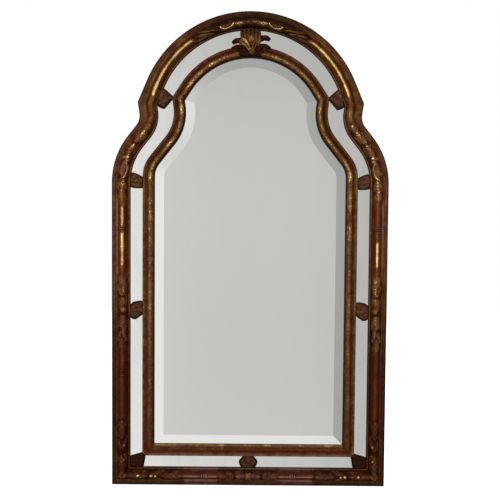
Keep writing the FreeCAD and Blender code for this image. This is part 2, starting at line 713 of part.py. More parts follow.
def build():
    outer = Line(
        FRAME_WIDTH / 2,
        0,
        FRAME_HEIGHT,
        (OUTER_STEP, OUTER_LEG, OUTER_STUB, OUTER_CONVEX, OUTER_CONCAVE),
        OUTER_DEGREES,
    )
    inner = Line(
        FRAME_WIDTH / 2 - OUTER_WIDTH - MARGIN_SIDE,
        OUTER_WIDTH + MARGIN_BOTTOM,
        FRAME_HEIGHT - OUTER_WIDTH - MARGIN_TOP,
        (INNER_STEP, INNER_LEG, INNER_STUB, INNER_CONVEX, INNER_CONCAVE),
        INNER_DEGREES,
    )
    mouldings = moulding("outer", outer, outer_moves())
    mouldings.update(moulding("inner", inner, inner_moves()))
    pieces = dict(mouldings)
    pieces.update(clasps(outer, inner, mouldings))
    pieces.update(ground_boards(outer, inner))
    pieces.update(backboards(inner))
    pivot = ring_pivot(outer, inner)
    pieces.update(sided("hanger_strap", strap(pivot)))
    outer_screws = screws_round(
        outer, OUTER_SCREW_INSET, BACK_RECESS, OUTER_SCREW_LENGTH,
        OUTER_SCREW_RAIL_SHARES, OUTER_SCREW_STILE_SHARES, OUTER_SCREW_BEND_SHARE, SCREW_ARCH_DEGREES,
    )
    inner_screws = screws_round(
        inner, INNER_SCREW_INSET, BACK_RECESS, INNER_SCREW_LENGTH,
        INNER_SCREW_RAIL_SHARES, INNER_SCREW_STILE_SHARES, INNER_SCREW_BEND_SHARE, SCREW_ARCH_DEGREES,
    )
    back_screws = screws_round(
        inner, BACK_SCREW_INSET, BACK_RECESS - BACKBOARD_THICKNESS, BACK_SCREW_LENGTH,
        BACK_SCREW_RAIL_SHARES, BACK_SCREW_STILE_SHARES, BACK_SCREW_BEND_SHARE, BACK_SCREW_ARCH_DEGREES,
    )
    strap_screws = hanger_screws(pivot)
    clasp_pins = pins(pin_places(outer, inner))
    joint_dowels = dowels(outer)
    corner_keys = mitre_keys(outer)
    cut_from(pieces, outer_screws, ("outer", "ground"))
    cut_from(pieces, inner_screws, ("inner", "ground"))
    cut_from(pieces, back_screws, ("backboard", "ground"))
    cut_from(pieces, strap_screws, ("strap", "ground"))
    cut_from(pieces, clasp_pins, ("clasp", "crest", "ground"))
    cut_from(pieces, joint_dowels, ("outer",))
    cut_from(pieces, corner_keys, ("outer",))
    pieces.update(margin_plates(outer, inner))
    pieces["main_plate"] = main_plate(inner)
    pieces["glazing_blocks"] = glazing_blocks(inner)
    pieces["outer_screws"] = outer_screws
    pieces["inner_screws"] = inner_screws
    pieces["back_screws"] = back_screws
    pieces["hanger_screws"] = strap_screws
    pieces["clasp_pins"] = clasp_pins
    pieces["joint_dowels"] = joint_dowels
    pieces["mitre_keys"] = corner_keys
    pieces.update(sided("hanger_ring", hanger_ring(pivot)))
    print("right ring pivot", [round(value, 3) for value in (pivot[0], -RING_DEPTH, pivot[1])])
    return pieces


os.makedirs("parts", exist_ok=True)
for piece_name, piece in build().items():
    piece.exportStep("parts/" + piece_name + ".step")
    print(piece_name, len(piece.Solids), round(piece.Volume), piece.isValid())
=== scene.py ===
"""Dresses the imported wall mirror: carved and gilded mouldings, clasps, crest, plates, boards and hangers.

Sizes are in millimetres until a piece is finished. X runs to the right, Z up, and a depth is measured forward
from the wall, towards -Y. An inset is measured inward from the outer edge of a moulding.
"""

from __future__ import annotations

import logging
import math
from dataclasses import dataclass, field
from enum import Enum
from functools import cached_property
from typing import Sequence

import bmesh
import bpy
import numpy as np
from mathutils import Matrix, Vector

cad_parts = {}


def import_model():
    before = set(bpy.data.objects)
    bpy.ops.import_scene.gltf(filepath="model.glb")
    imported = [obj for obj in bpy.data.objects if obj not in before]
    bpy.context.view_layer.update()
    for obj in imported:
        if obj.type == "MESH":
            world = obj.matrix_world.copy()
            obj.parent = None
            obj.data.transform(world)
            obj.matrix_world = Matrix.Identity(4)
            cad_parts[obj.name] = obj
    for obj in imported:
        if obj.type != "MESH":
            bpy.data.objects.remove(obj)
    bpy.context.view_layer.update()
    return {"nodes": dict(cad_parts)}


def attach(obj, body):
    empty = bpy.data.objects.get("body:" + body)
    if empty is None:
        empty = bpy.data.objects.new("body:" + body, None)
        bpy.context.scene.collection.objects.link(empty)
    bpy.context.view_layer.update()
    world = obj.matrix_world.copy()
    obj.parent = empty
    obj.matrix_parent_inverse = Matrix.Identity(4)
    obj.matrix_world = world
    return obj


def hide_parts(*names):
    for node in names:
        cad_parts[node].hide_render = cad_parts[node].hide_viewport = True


LOG = logging.getLogger("mirror")
MM = 0.001
BODY = "frame"
STATION_PITCH = 1.5
TOUCH = 0.01
BACK_FACING = 0.7
WALL_GAP = 0.0005
# Vertex layers of gold leaf, dirt and rubbing, which also carry painted highlights and painted shade.
LAYERS = ("gilt", "dirt", "rub_and_sheen")
FOLIAGE_ROOTS = (0.06, 0.16, 0.34, 0.46, 0.64, 0.7, 0.8)
FLOAT = "NodeSocketFloat"
COLOUR = "NodeSocketColor"
VECTOR = "NodeSocketVector"

Socket = bpy.types.NodeSocket
Array = np.ndarray
Point = tuple[float, float]
Place = tuple[float, float, float]
Edges = tuple[float, float, float, float]
Move = tuple[Point, ...]
Table = tuple[Point, ...]


class Side(Enum):
    """The two halves of the mirror, as seen from the front."""

    LEFT = -1
    RIGHT = 1

    @property
    def label(self) -> str:
        """Word that starts the names of this side's pieces."""
        return self.name.lower()


@dataclass(frozen=True)
class Levels:
    """Depths in front of the wall, shared by all pieces."""

    glass_front: float = 27.0
    seat: float = 27.2
    inner_front: float = 46.0
    outer_front: float = 52.0
    skin: float = 0.05


LEVELS = Levels()


def around(centre: Point, radius: float, angle: float) -> Point:
    """Point at a radius and angle about a centre."""
    return (centre[0] + radius * math.cos(angle), centre[1] + radius * math.sin(angle))


def step(point: Point, heading: float, length: float) -> Point:
    """Point reached along a heading, an angle to the left of straight up."""
    return (point[0] - length * math.sin(heading), point[1] + length * math.cos(heading))


def smooth(values: Array, low: float, high: float) -> Array:
    """Smooth rise from 0 at low to 1 at high."""
    share = np.clip((values - low) / (high - low), 0.0, 1.0)
    return share * share * (3.0 - 2.0 * share)


def dome(values: Array) -> Array:
    """Half circle over -1 to 1, and 0 outside."""
    return np.sqrt(np.clip(1.0 - values * values, 0.0, None))


def swell(values: Array, middle: float, width: float) -> Array:
    """Bell curve of height 1 round a middle."""
    return np.exp(-(((values - middle) / width) ** 2))


def plateau(values: Array, edges: Edges) -> Array:
    """Smooth rise to 1 between the first two edges, and fall back to 0 between the last two."""
    return smooth(values, edges[0], edges[1]) * (1.0 - smooth(values, edges[2], edges[3]))


def look_up(table: Table, places: Array) -> Array:
    """Values at places, along straight lines between a table's (place, value) pairs."""
    return np.interp(places, *zip(*table))


def open_edges(mesh: bmesh.types.BMesh) -> list[bmesh.types.BMEdge]:
    """Edges with a face on one side only."""
    return [edge for edge in mesh.edges if edge.is_boundary]


def trim(mesh: bmesh.types.BMesh, point: Place, direction: Place) -> None:
    """Removes all of a mesh that lies past a point in a direction."""
    parts = mesh.verts[:] + mesh.edges[:] + mesh.faces[:]
    bmesh.ops.bisect_plane(mesh, geom=parts, plane_co=point, plane_no=direction, clear_outer=True)


@dataclass(frozen=True)
class Course:
    """The outer edge of a moulding's right half: rail, stile, S-shaped shoulder, ear and arch.

    Angles are in radians.
    """

    half_width: float
    bottom: float
    top: float
    ear_step: float
    leg: float
    stub: float
    convex: float
    concave: float
    spring: float
    flare: float
    slope: float

    @cached_property
    def arch_radius(self) -> float:
        """Radius of the arch, which its straight legs meet without a bend."""
        ear_x = self.half_width - self.ear_step
        return (ear_x - self.leg * math.sin(self.spring)) / math.cos(self.spring)

    @cached_property
    def arch_centre(self) -> Point:
        """Centre of the arch."""
        return (0.0, self.top - self.arch_radius)

    @cached_property
    def ear(self) -> Point:
        """Tip of the ear, where shoulder and arch meet."""
        return step(around(self.arch_centre, self.arch_radius, self.spring), self.spring, -self.leg)

    @cached_property
    def run(self) -> float:
        """Length of the straight slope between the two bends of the shoulder."""
        turn = self.convex * (1.0 - math.cos(self.slope))
        turn += self.concave * (math.cos(self.flare) - math.cos(self.slope))
        gap = self.half_width - turn + self.stub * math.sin(self.flare) - self.ear[0]
        return gap / math.sin(self.slope)

    @cached_property
    def stile_top(self) -> float:
        """Height at which the straight side ends."""
        turn = (self.convex + self.concave) * math.sin(self.slope) + self.concave * math.sin(self.flare)
        return self.ear[1] - turn - self.stub * math.cos(self.flare) - self.run * math.cos(self.slope)

    @cached_property
    def convex_centre(self) -> Point:
        """Centre of the lower bend of the shoulder."""
        return (self.half_width - self.convex, self.stile_top)

    @cached_property
    def concave_centre(self) -> Point:
        """Centre of the upper bend of the shoulder."""
        foot = around(self.convex_centre, self.convex, self.slope)
        return around(step(foot, self.slope, self.run), self.concave, self.slope)

    @property
    def ear_heading(self) -> float:
        """Heading of the normal of the mitre at the ear."""
        return (self.spring - self.flare) / 2.0

    def ear_point(self, inset: float) -> Point:
        """Point on the mitre at the ear."""
        return around(self.ear, -inset / math.cos((self.spring + self.flare) / 2.0), self.ear_heading)

    def stations(self, inset: float) -> dict[str, float]:
        """Lengths along the line at an inset, from the bottom centre to each change of course.

        Args:
            inset: Inset of the line that is measured.

        Returns:
            Length reached at the corner, stile top, bends, ear and top.
        """
        corner = self.half_width - inset
        stile = corner + self.stile_top - self.bottom - inset
        bend = stile + (self.convex - inset) * self.slope
        slope = bend + self.run
        hollow = slope + (self.concave + inset) * (self.slope + self.flare)
        shift = inset * math.tan((self.spring + self.flare) / 2.0)
        ear = hollow + self.stub - shift
        leg = ear - shift + self.leg
        top = leg + (self.arch_radius - inset) * (math.pi / 2.0 - self.spring)
        return {
            "corner": corner, "stile": stile, "bend": bend, "slope": slope, "hollow": hollow,
            "ear": ear, "leg": leg, "top": top,
        }


OUTER_COURSE = Course(
    440.0, 0.0, 1516.0, 82.0, 73.5, 35.0, 240.0, 50.7,
    math.radians(22.9), math.radians(8.8), math.radians(38.3),
)
INNER_COURSE = Course(
    342.0, 96.0, 1408.0, 93.0, 52.0, 32.0, 106.3, 121.5,
    math.radians(33.1), math.radians(7.6), math.radians(38.5),
)


def arc_points(start: Point, middle: Point, end: Point, pitch: float) -> list[Point]:
    """Points along the arc through three points, without its start.

    Args:
        start: First point of the arc.
        middle: A point on the arc.
        end: Last point of the arc.
        pitch: Wanted distance between points.

    Returns:
        The points, the end included.
    """
    (ax, ay), (bx, by), (cx, cy) = start, middle, end
    cross = 2.0 * (ax * (by - cy) + bx * (cy - ay) + cx * (ay - by))
    aa, bb, cc = ax * ax + ay * ay, bx * bx + by * by, cx * cx + cy * cy
    centre = (
        (aa * (by - cy) + bb * (cy - ay) + cc * (ay - by)) / cross,
        (aa * (cx - bx) + bb * (ax - cx) + cc * (bx - ax)) / cross,
    )
    radius = math.dist(centre, start)
    first = math.atan2(ay - centre[1], ax - centre[0])
    sweep = math.atan2(cy - centre[1], cx - centre[0]) - first
    if cross > 0:
        sweep %= 2.0 * math.pi
    else:
        sweep = -((-sweep) % (2.0 * math.pi))
    steps = max(2, round(abs(sweep) * radius / pitch))
    return [around(centre, radius, first + sweep * index / steps) for index in range(1, steps + 1)]


def finish_mesh(
    mesh: bmesh.types.BMesh, name: str, side: Side = Side.RIGHT, sharp: float = 55.0,
) -> bpy.types.Object:
    """Turns a mesh in millimetres into an object at the origin.

    Args:
        mesh: Mesh to use up. It is made for the right side.
        name: Name of the piece.
        side: Side that the piece is for.
        sharp: Angle in degrees past which an edge is shaded sharp.

    Returns:
        The new object, linked to the scene.
    """
    bmesh.ops.transform(mesh, matrix=Matrix.Diagonal((side.value * MM, MM, MM, 1.0)), verts=mesh.verts)
    bmesh.ops.recalc_face_normals(mesh, faces=mesh.faces)
    if mesh.calc_volume(signed=True) < 0.0:
        bmesh.ops.reverse_faces(mesh, faces=mesh.faces)
    data = bpy.data.meshes.new(name)
    mesh.to_mesh(data)
    mesh.free()
    data.shade_smooth()
    data.set_sharp_from_angle(angle=math.radians(sharp))
    piece = bpy.data.objects.new(name, data)
    bpy.context.scene.collection.objects.link(piece)
    return piece


@dataclass
class Relief:
    """Surface of a carved front: its depth, and how gilded, dirty and rubbed it is, from 0 to 1. These layers
    also hold painted highlights and painted shade.
    """

    depth: Array
    gilt: Array
    dirt: Array
    rub_and_sheen: Array


def store(mesh: bmesh.types.BMesh, relief: Relief) -> None:
    """Keeps how gilded, dirty and rubbed a relief is, painted highlights and shade included, in layers of its
    vertices.

    Args:
        mesh: Mesh with one vertex for each place of the relief.
        relief: The relief.
    """
    for name in LAYERS:
        layer = mesh.verts.layers.float.new(name)
        for vert, value in zip(mesh.verts, getattr(relief, name)):
            vert[layer] = value


class Sweep:
    """A cross-section carried along its course, first as stations and then as one grid of faces."""

    def __init__(
        self, section: Sequence[Point], start: Point, heading: float, along: float, line: float,
    ) -> None:
        """Sets the first station.

        Args:
            section: Closed loop of (inset, depth) points.
            start: Point of the outer edge where the section stands.
            heading: Heading of the course there.
            along: Length along the centre line there.
            line: Inset of the centre line.
        """
        self.mesh = bmesh.new()
        self.section = np.array([*section, section[0]])
        self.line = line
        self.places = [np.array(start)]
        self.headings = [heading]
        self.alongs = [along]

    def straight(self, length: float) -> None:
        """Carries the section straight on.

        Args:
            length: How far.
        """
        here, heading, along = self.places[-1], self.headings[-1], self.alongs[-1]
        steps = max(1, round(length / STATION_PITCH))
        for index in range(1, steps + 1):
            part = length * index / steps
            self.places.append(np.array(step(tuple(here), heading, part)))
            self.headings.append(heading)
            self.alongs.append(along + part)

    def turn(self, centre: Point, angle: float) -> None:
        """Carries the section round a centre.

        Args:
            centre: Centre of the bend.
            angle: Angle of the bend, above 0 to the left.
        """
        here, heading, along = self.places[-1], self.headings[-1], self.alongs[-1]
        radius = math.dist(here, centre)
        first = math.atan2(here[1] - centre[1], here[0] - centre[0])
        length = abs(angle) * (radius - math.copysign(self.line, angle))
        steps = max(2, round(length / STATION_PITCH))
        for index in range(1, steps + 1):
            share = index / steps
            self.places.append(np.array(around(centre, radius, first + share * angle)))
            self.headings.append(heading + share * angle)
            self.alongs.append(along + share * length)

    def lay(self) -> None:
        """Lays a grid over the stations. Its two long edges meet on the back, to be joined in carve."""
        columns, rows = len(self.section) - 1, len(self.places) - 1
        bmesh.ops.create_grid(self.mesh, x_segments=columns, y_segments=rows, size=1.0)
        flat = np.array([(vert.co.x, vert.co.y) for vert in self.mesh.verts])
        self.column = np.rint((flat[:, 0] + 1.0) / 2.0 * columns).astype(int)
        row = np.rint((flat[:, 1] + 1.0) / 2.0 * rows).astype(int)
        self.inset, self.depth = self.section[self.column].T
        self.along = np.array(self.alongs)[row]
        heading = np.array(self.headings)[row]
        self.inward = -np.column_stack((np.cos(heading), np.sin(heading)))
        self.spots = np.array(self.places)[row] + self.inward * self.inset[:, None]

    def carve(self, relief: Relief) -> None:
        """Moves the vertices to the depths of a relief and keeps its gilding, dirt and rubbing, painted
        highlights and shade included, with them.

        Args:
            relief: The relief, with one place for each vertex.
        """
        for vert, spot, deep in zip(self.mesh.verts, self.spots, relief.depth):
            vert.co = (spot[0], -deep, spot[1])
        store(self.mesh, relief)
        seam = (self.column == 0) | (self.column == self.column.max())
        joined = [vert for vert, meets in zip(self.mesh.verts, seam) if meets]
        bmesh.ops.remove_doubles(self.mesh, verts=joined, dist=LEVELS.skin)

    def cut(self, point: Point, direction: Point) -> None:
        """Removes all that lies past a point in a direction."""
        trim(self.mesh, (point[0], 0.0, point[1]), (direction[0], 0.0, direction[1]))

    def close(self) -> None:
        """Closes the two ends."""
        bmesh.ops.holes_fill(self.mesh, edges=open_edges(self.mesh), sides=0)


@dataclass
class Carving:
    """Height of the motifs over the ground of a carved length, and how gilded they are, the gold strongest on
    their tops as a painted highlight.
    """

    height: Array
    gild: Array


@dataclass(frozen=True)
class Stamp:
    """One carved motif on the strip of a moulding: root, heading, length, half width, height and gilding."""

    along: float
    across: float
    turn: float
    length: float
    width: float
    peak: float
    gold: float = 0.3

    def press(self, along: Array, across: Array, carving: Carving) -> None:
        """Raises and gilds the places that lie under the motif, the gold strongest on its top as a painted
        highlight.

        Args:
            along: Places along the moulding.
            across: Places across it, from its centre line inward.
            carving: Carving that the motif is added to.
        """
        near = np.abs(along - self.along) < 1.3 * max(self.length, self.width)
        if not near.any():
            return
        ds, dv = along[near] - self.along, across[near] - self.across
        cos, sin = math.cos(self.turn), math.sin(self.turn)
        form = self.form((ds * cos + dv * sin) / self.length, (dv * cos - ds * sin) / self.width)
        raised = self.peak * form
        height, gild = carving.height[near], carving.gild[near]
        higher = raised > height
        carving.height[near] = np.where(higher, raised, height)
        # The gold grows with the height, a painted highlight on the tops of the motifs.
        carving.gild[near] = np.where(higher, self.gold * form * (0.4 + 0.85 * form), gild)

    def form(self, a: Array, b: Array) -> Array:
        """Height from 0 to about 1 over the motif's own length and half width."""
        raise NotImplementedError


@dataclass(frozen=True)
class Bud(Stamp):
    """A round boss."""

    def form(self, a: Array, b: Array) -> Array:
        """See Stamp."""
        return dome(np.hypot(a, b))


@dataclass(frozen=True)
class Leaf(Stamp):
    """A lobed leaf with a midrib and a lifted tip."""

    lobes: int = 4
    bend: float = 0.0

    def form(self, a: Array, b: Array) -> Array:
        """See Stamp."""
        b = b - self.bend * a * a
        mid = np.abs(b)
        lobe = np.abs(np.cos(math.pi * self.lobes * (a - 0.28 * mid)))
        spread = np.sin(math.pi * np.clip(a, 0.0, 1.0) ** 0.7) ** 0.8
        edge = np.maximum(spread * (0.66 + 0.34 * lobe**0.6), 1e-6)
        inside = (a > 0.0) & (a < 1.0) & (mid < edge)
        share = np.where(inside, mid / edge, 1.0)
        body = np.sqrt(np.clip(1.0 - share**4, 0.0, None)) * (0.45 + 0.55 * lobe) * (0.62 + 0.38 * a)
        rib = 0.3 * swell(b, 0.0, 0.1) * np.clip(1.0 - a, 0.0, 1.0)
        return np.where(inside, np.clip(body + rib, 0.0, 1.0), 0.0)


@dataclass(frozen=True)
class Volute(Stamp):
    """A scroll that winds in to an eye."""

    hand: int = 1
    turns: float = 1.6

    def form(self, a: Array, b: Array) -> Array:
        """See Stamp."""
        radius = np.hypot(a, b)
        angle = np.arctan2(b * self.hand, a) % (2.0 * math.pi)
        form = dome(radius / 0.24)
        for lap in range(math.ceil(self.turns)):
            share = (angle / (2.0 * math.pi) + lap) / self.turns
            ridge = dome((radius - 0.84 * (1.0 - 0.85 * share)) / (0.2 * (1.0 - 0.5 * share)))
            form = np.maximum(form, np.where(share < 1.0, ridge * (0.7 + 0.3 * share), 0.0))
        return form


@dataclass(frozen=True)
class Shell(Stamp):
    """A ribbed shell that opens along its heading."""

    ribs: int = 7

    def form(self, a: Array, b: Array) -> Array:
        """See Stamp."""
        radius = np.hypot(a, b)
        angle = np.arctan2(b, a)
        rib = np.abs(np.cos(angle * self.ribs / 1.6))
        inside = (radius < 0.88 + 0.12 * rib) & (np.abs(angle) < 1.25)
        form = (0.35 + 0.5 * radius) * (0.55 + 0.45 * rib) + 0.3 * swell(radius, 0.85, 0.08)
        return np.where(inside, np.clip(form, 0.0, 1.0), 0.0)


@dataclass(frozen=True)
class Rosette(Stamp):
    """A flower with a raised heart."""

    petals: int = 6

    def form(self, a: Array, b: Array) -> Array:
        """See Stamp."""
        radius = np.hypot(a, b)
        petal = np.abs(np.cos(np.arctan2(b, a) * self.petals / 2.0))
        form = np.where(radius < 0.7 + 0.3 * petal, (0.35 + 0.65 * petal) * (1.0 - 0.35 * radius), 0.0)
        return np.maximum(form, dome(radius / 0.3))


@dataclass(frozen=True)
class Rim(Stamp):
    """A C-shaped rim round a smooth oval field, open towards the outer edge."""

    def form(self, a: Array, b: Array) -> Array:
        """See Stamp."""
        radius = np.hypot(a, b)
        low = np.clip((b + 0.3) / 1.1, 0.0, 1.0)
        ridge = dome((radius - 0.84) / (0.06 + 0.13 * low)) * np.clip((b + 0.3) / 0.4, 0.0, 1.0)
        ridge = ridge * (0.6 + 0.4 * low)
        ends = np.maximum(dome(np.hypot(a - 0.86, b + 0.1) / 0.2), dome(np.hypot(a + 0.86, b + 0.1) / 0.2))
        field_form = np.where(radius < 0.72, 0.12 + 0.14 * dome(radius / 0.72), 0.0)
        return np.maximum(np.maximum(ridge, 0.55 * ends), field_form)


@dataclass(frozen=True)
class Cartouche:
    """A carved length of moulding: its middle, how far it and its foliage run each way, and the foliage.

    The foliage has a height, a spread across the moulding and a share of gold.
    """

    middle: float
    half: float
    reach: float
    peak: float
    spread: float
    gold: float

    def foliage(self) -> list[Stamp]:
        """Leaves and volutes that run out from the middle both ways.

        Returns:
            The motifs.
        """
        stamps: list[Stamp] = []
        high, wide, gold = self.peak, self.spread, self.gold
        for way in (-1, 1):
            head = 0.0 if way > 0 else math.pi
            root = [self.middle + way * share * self.reach for share in FOLIAGE_ROOTS]
            for up in (-1, 1):
                hand = up * way
                stamps += [
                    Volute(root[2], 0.5 * up * wide, head, 0.36 * wide, 0.36 * wide, high, gold, hand),
                    Leaf(
                        root[3], 0.12 * up * wide, head + 0.34 * hand, 0.3 * self.reach, 0.42 * wide,
                        0.85 * high, gold, 3, 0.3 * hand,
                    ),
                    Leaf(root[1], 0.8 * up * wide, head, 0.26 * self.reach, 0.26 * wide, 0.8 * high, gold, 3),
                    Volute(
                        root[5], 0.6 * up * wide, head, 0.26 * wide, 0.26 * wide, 0.75 * high, gold, -hand,
                    ),
                    Leaf(
                        root[6], 0.42 * up * wide, head + 0.2 * hand, 0.2 * self.reach, 0.4 * wide,
                        0.7 * high, 0.8 * gold, 3,
                    ),
                ]
            stamps += [
                Leaf(root[0], 0.0, head, 0.36 * self.reach, 0.62 * wide, high, gold, 4),
                Leaf(root[4], 0.0, head, 0.36 * self.reach, 0.6 * wide, high, gold, 4),
            ]
        return stamps

    def mask(self, along: Array, across: Array) -> Array:
        """1 inside the carved length and 0 in the plain lengths beside it, with tongue-shaped ends."""
        away = np.abs(along - self.middle) + 0.035 * across * across
        return 1.0 - smooth(away, self.half - 12.0, self.half + 4.0)


@dataclass
class Moulding:
    """One of the two mouldings, in seven lengths."""

    prefix: str
    course: Course
    width: float
    front_depth: float
    crest_share: float
    front_shares: tuple[Move, ...]
    back: tuple[Point, ...]
    slot: str
    limit: float
    column: float = 1.25
    crack: float = 0.9
    crack_width: float = 2.0
    back_dirt: float = 0.35
    ridge_edges: Edges = (0.03, 0.42, 0.68, 0.95)

    @property
    def line(self) -> float:
        """Inset of the centre line."""
        return self.width * self.crest_share

    @cached_property
    def marks(self) -> dict[str, float]:
        """Lengths along the centre line to each change of course."""
        return self.course.stations(self.line)

    def section(self) -> list[Point]:
        """Closed loop of the cross-section, the front finely divided.

        Returns:
            The (inset, depth) points.
        """
        rise = self.front_depth - LEVELS.seat
        moves = [
            tuple((self.width * across, LEVELS.seat + rise * up) for across, up in move)
            for move in self.front_shares
        ]
        points = [moves[0][-1]]
        for move in moves[1:]:
            start = points[-1]
            if len(move) == 2:
                points += arc_points(start, move[0], move[1], self.column)
                continue
            count = max(1, round(math.dist(start, move[0]) / self.column))
            for index in range(1, count + 1):
                share = index / count
                points.append(tuple(a + (b - a) * share for a, b in zip(start, move[0])))
        return points + list(self.back)

    def relief(self, along: Array, inset: Array, depth: Array, side: Side) -> Relief:
        """Relief of the front at places along and across the moulding.

        Args:
            along: Lengths along the centre line, below 0 left of the bottom centre.
            inset: Insets of the places.
            depth: Depths of the plain section there.
            side: Side that the length is for.

        Returns:
            The relief at these places.
        """
        raise NotImplementedError

    def drift(self, along: Array) -> Array:
        """How far the ridge wanders inward along the moulding, as a share of its width."""
        raise NotImplementedError

    def build(self, finish: bpy.types.Material, wood: bpy.types.Material) -> list[bpy.types.Object]:
        """Builds and dresses all seven lengths.

        Args:
            finish: Material of front and sides.
            wood: Material of the bare back.

        Returns:
            The pieces.
        """
        course, marks = self.course, self.marks
        corner = (course.half_width, course.bottom)
        section = self.section()
        ear_way = (-math.sin(course.ear_heading), math.cos(course.ear_heading))
        ear_back = (-ear_way[0], -ear_way[1])
        pieces = []
        rail = Sweep(section, (-corner[0], corner[1]), -math.pi / 2.0, -corner[0], self.line)
        rail.straight(2.0 * corner[0])
        cuts = [(corner, (1.0, 1.0)), ((-corner[0], corner[1]), (-1.0, 1.0))]
        pieces.append(self.dress(rail, cuts, f"{self.prefix}_bottom_rail", None, finish, wood))
        for side in Side:
            stile = Sweep(section, corner, 0.0, marks["corner"] - self.line, self.line)
            stile.straight(course.stile_top - course.bottom)
            name = f"{side.label}_{self.prefix}"
            cuts = [(corner, (-1.0, -1.0))]
            pieces.append(self.dress(stile, cuts, name + "_stile", side, finish, wood))
            shoulder = Sweep(section, (corner[0], course.stile_top), 0.0, marks["stile"], self.line)
            shoulder.turn(course.convex_centre, course.slope)
            shoulder.straight(course.run)
            shoulder.turn(course.concave_centre, -course.slope - course.flare)
            shoulder.straight(course.stub)
            cuts = [(course.ear, ear_way)]
            pieces.append(self.dress(shoulder, cuts, name + "_shoulder", side, finish, wood))
            arch = Sweep(section, course.ear, course.spring, marks["leg"] - course.leg, self.line)
            arch.straight(course.leg)
            arch.turn(course.arch_centre, math.pi / 2.0 - course.spring)
            cuts = [(course.ear, ear_back)]
            pieces.append(self.dress(arch, cuts, name + "_arch", side, finish, wood))
        return pieces

    def dress(
        self, sweep: Sweep, cuts: Sequence[tuple[Point, Point]], node: str, side: Side | None,
        finish: bpy.types.Material, wood: bpy.types.Material,
    ) -> bpy.types.Object:
        """Carves one length, trims and closes it, and puts it in place of its node.

        Args:
            sweep: The length, still plain.
            cuts: Points and directions past which it is trimmed.
            node: Name of the node that it replaces.
            side: Side that it is for, or None for a length across the middle.
            finish: Material of front and sides.
            wood: Material of the bare back.

        Returns:
            The finished piece.
        """
        sweep.lay()
        depth = sweep.depth
        raised = depth > LEVELS.seat + TOUCH
        front = raised | (sweep.inset < TOUCH)
        share = sweep.inset / self.width
        middle = plateau(share, self.ridge_edges) * raised
        aside = self.width * self.drift(np.abs(sweep.along)) * middle
        sweep.spots = sweep.spots + sweep.inward * aside[:, None]
        relief = self.relief(sweep.along, sweep.inset, depth, side or Side.RIGHT)
        joint = np.minimum(sweep.along - sweep.along.min(), sweep.along.max() - sweep.along)
        for point, direction in cuts:
            away = (sweep.spots - np.array(point)) @ np.array(direction)
            joint = np.minimum(joint, np.abs(away) / math.hypot(*direction))
        gap = np.clip(1.0 - joint / self.crack_width, 0.0, 1.0) * self.crack
        relief.depth = relief.depth - gap
        relief.dirt = np.maximum(relief.dirt, gap)
        relief.depth = np.where(raised, np.clip(relief.depth, LEVELS.seat, self.limit), depth)
        relief.gilt = np.where(front, relief.gilt, 0.0)
        relief.dirt = np.where(front, relief.dirt, self.back_dirt)
        relief.rub_and_sheen = np.where(front, relief.rub_and_sheen, 0.0)
        sweep.carve(relief)
        for point, direction in cuts:
            sweep.cut(point, direction)
        sweep.close()
        piece = finish_mesh(sweep.mesh, node + "_carved", side or Side.RIGHT)
        piece.data.materials.append(finish)
        piece.data.materials.append(wood)
        for face in piece.data.polygons:
            face.material_index = int(face.normal.y > BACK_FACING or face.center.y > -WALL_GAP)
        return place_piece(piece, self.slot, node)


def place_piece(piece: bpy.types.Object, slot: str, *nodes: str) -> bpy.types.Object:
    """Lets a piece ride on the frame and stand for its nodes.

    Args:
        piece: The new piece.
        slot: Not used.
        nodes: Names of the nodes that it replaces.

    Returns:
        The same piece.
    """
    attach(piece, BODY)
    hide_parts(*nodes)
    LOG.info("%s: %d faces", piece.name, len(piece.data.polygons))
    return piece


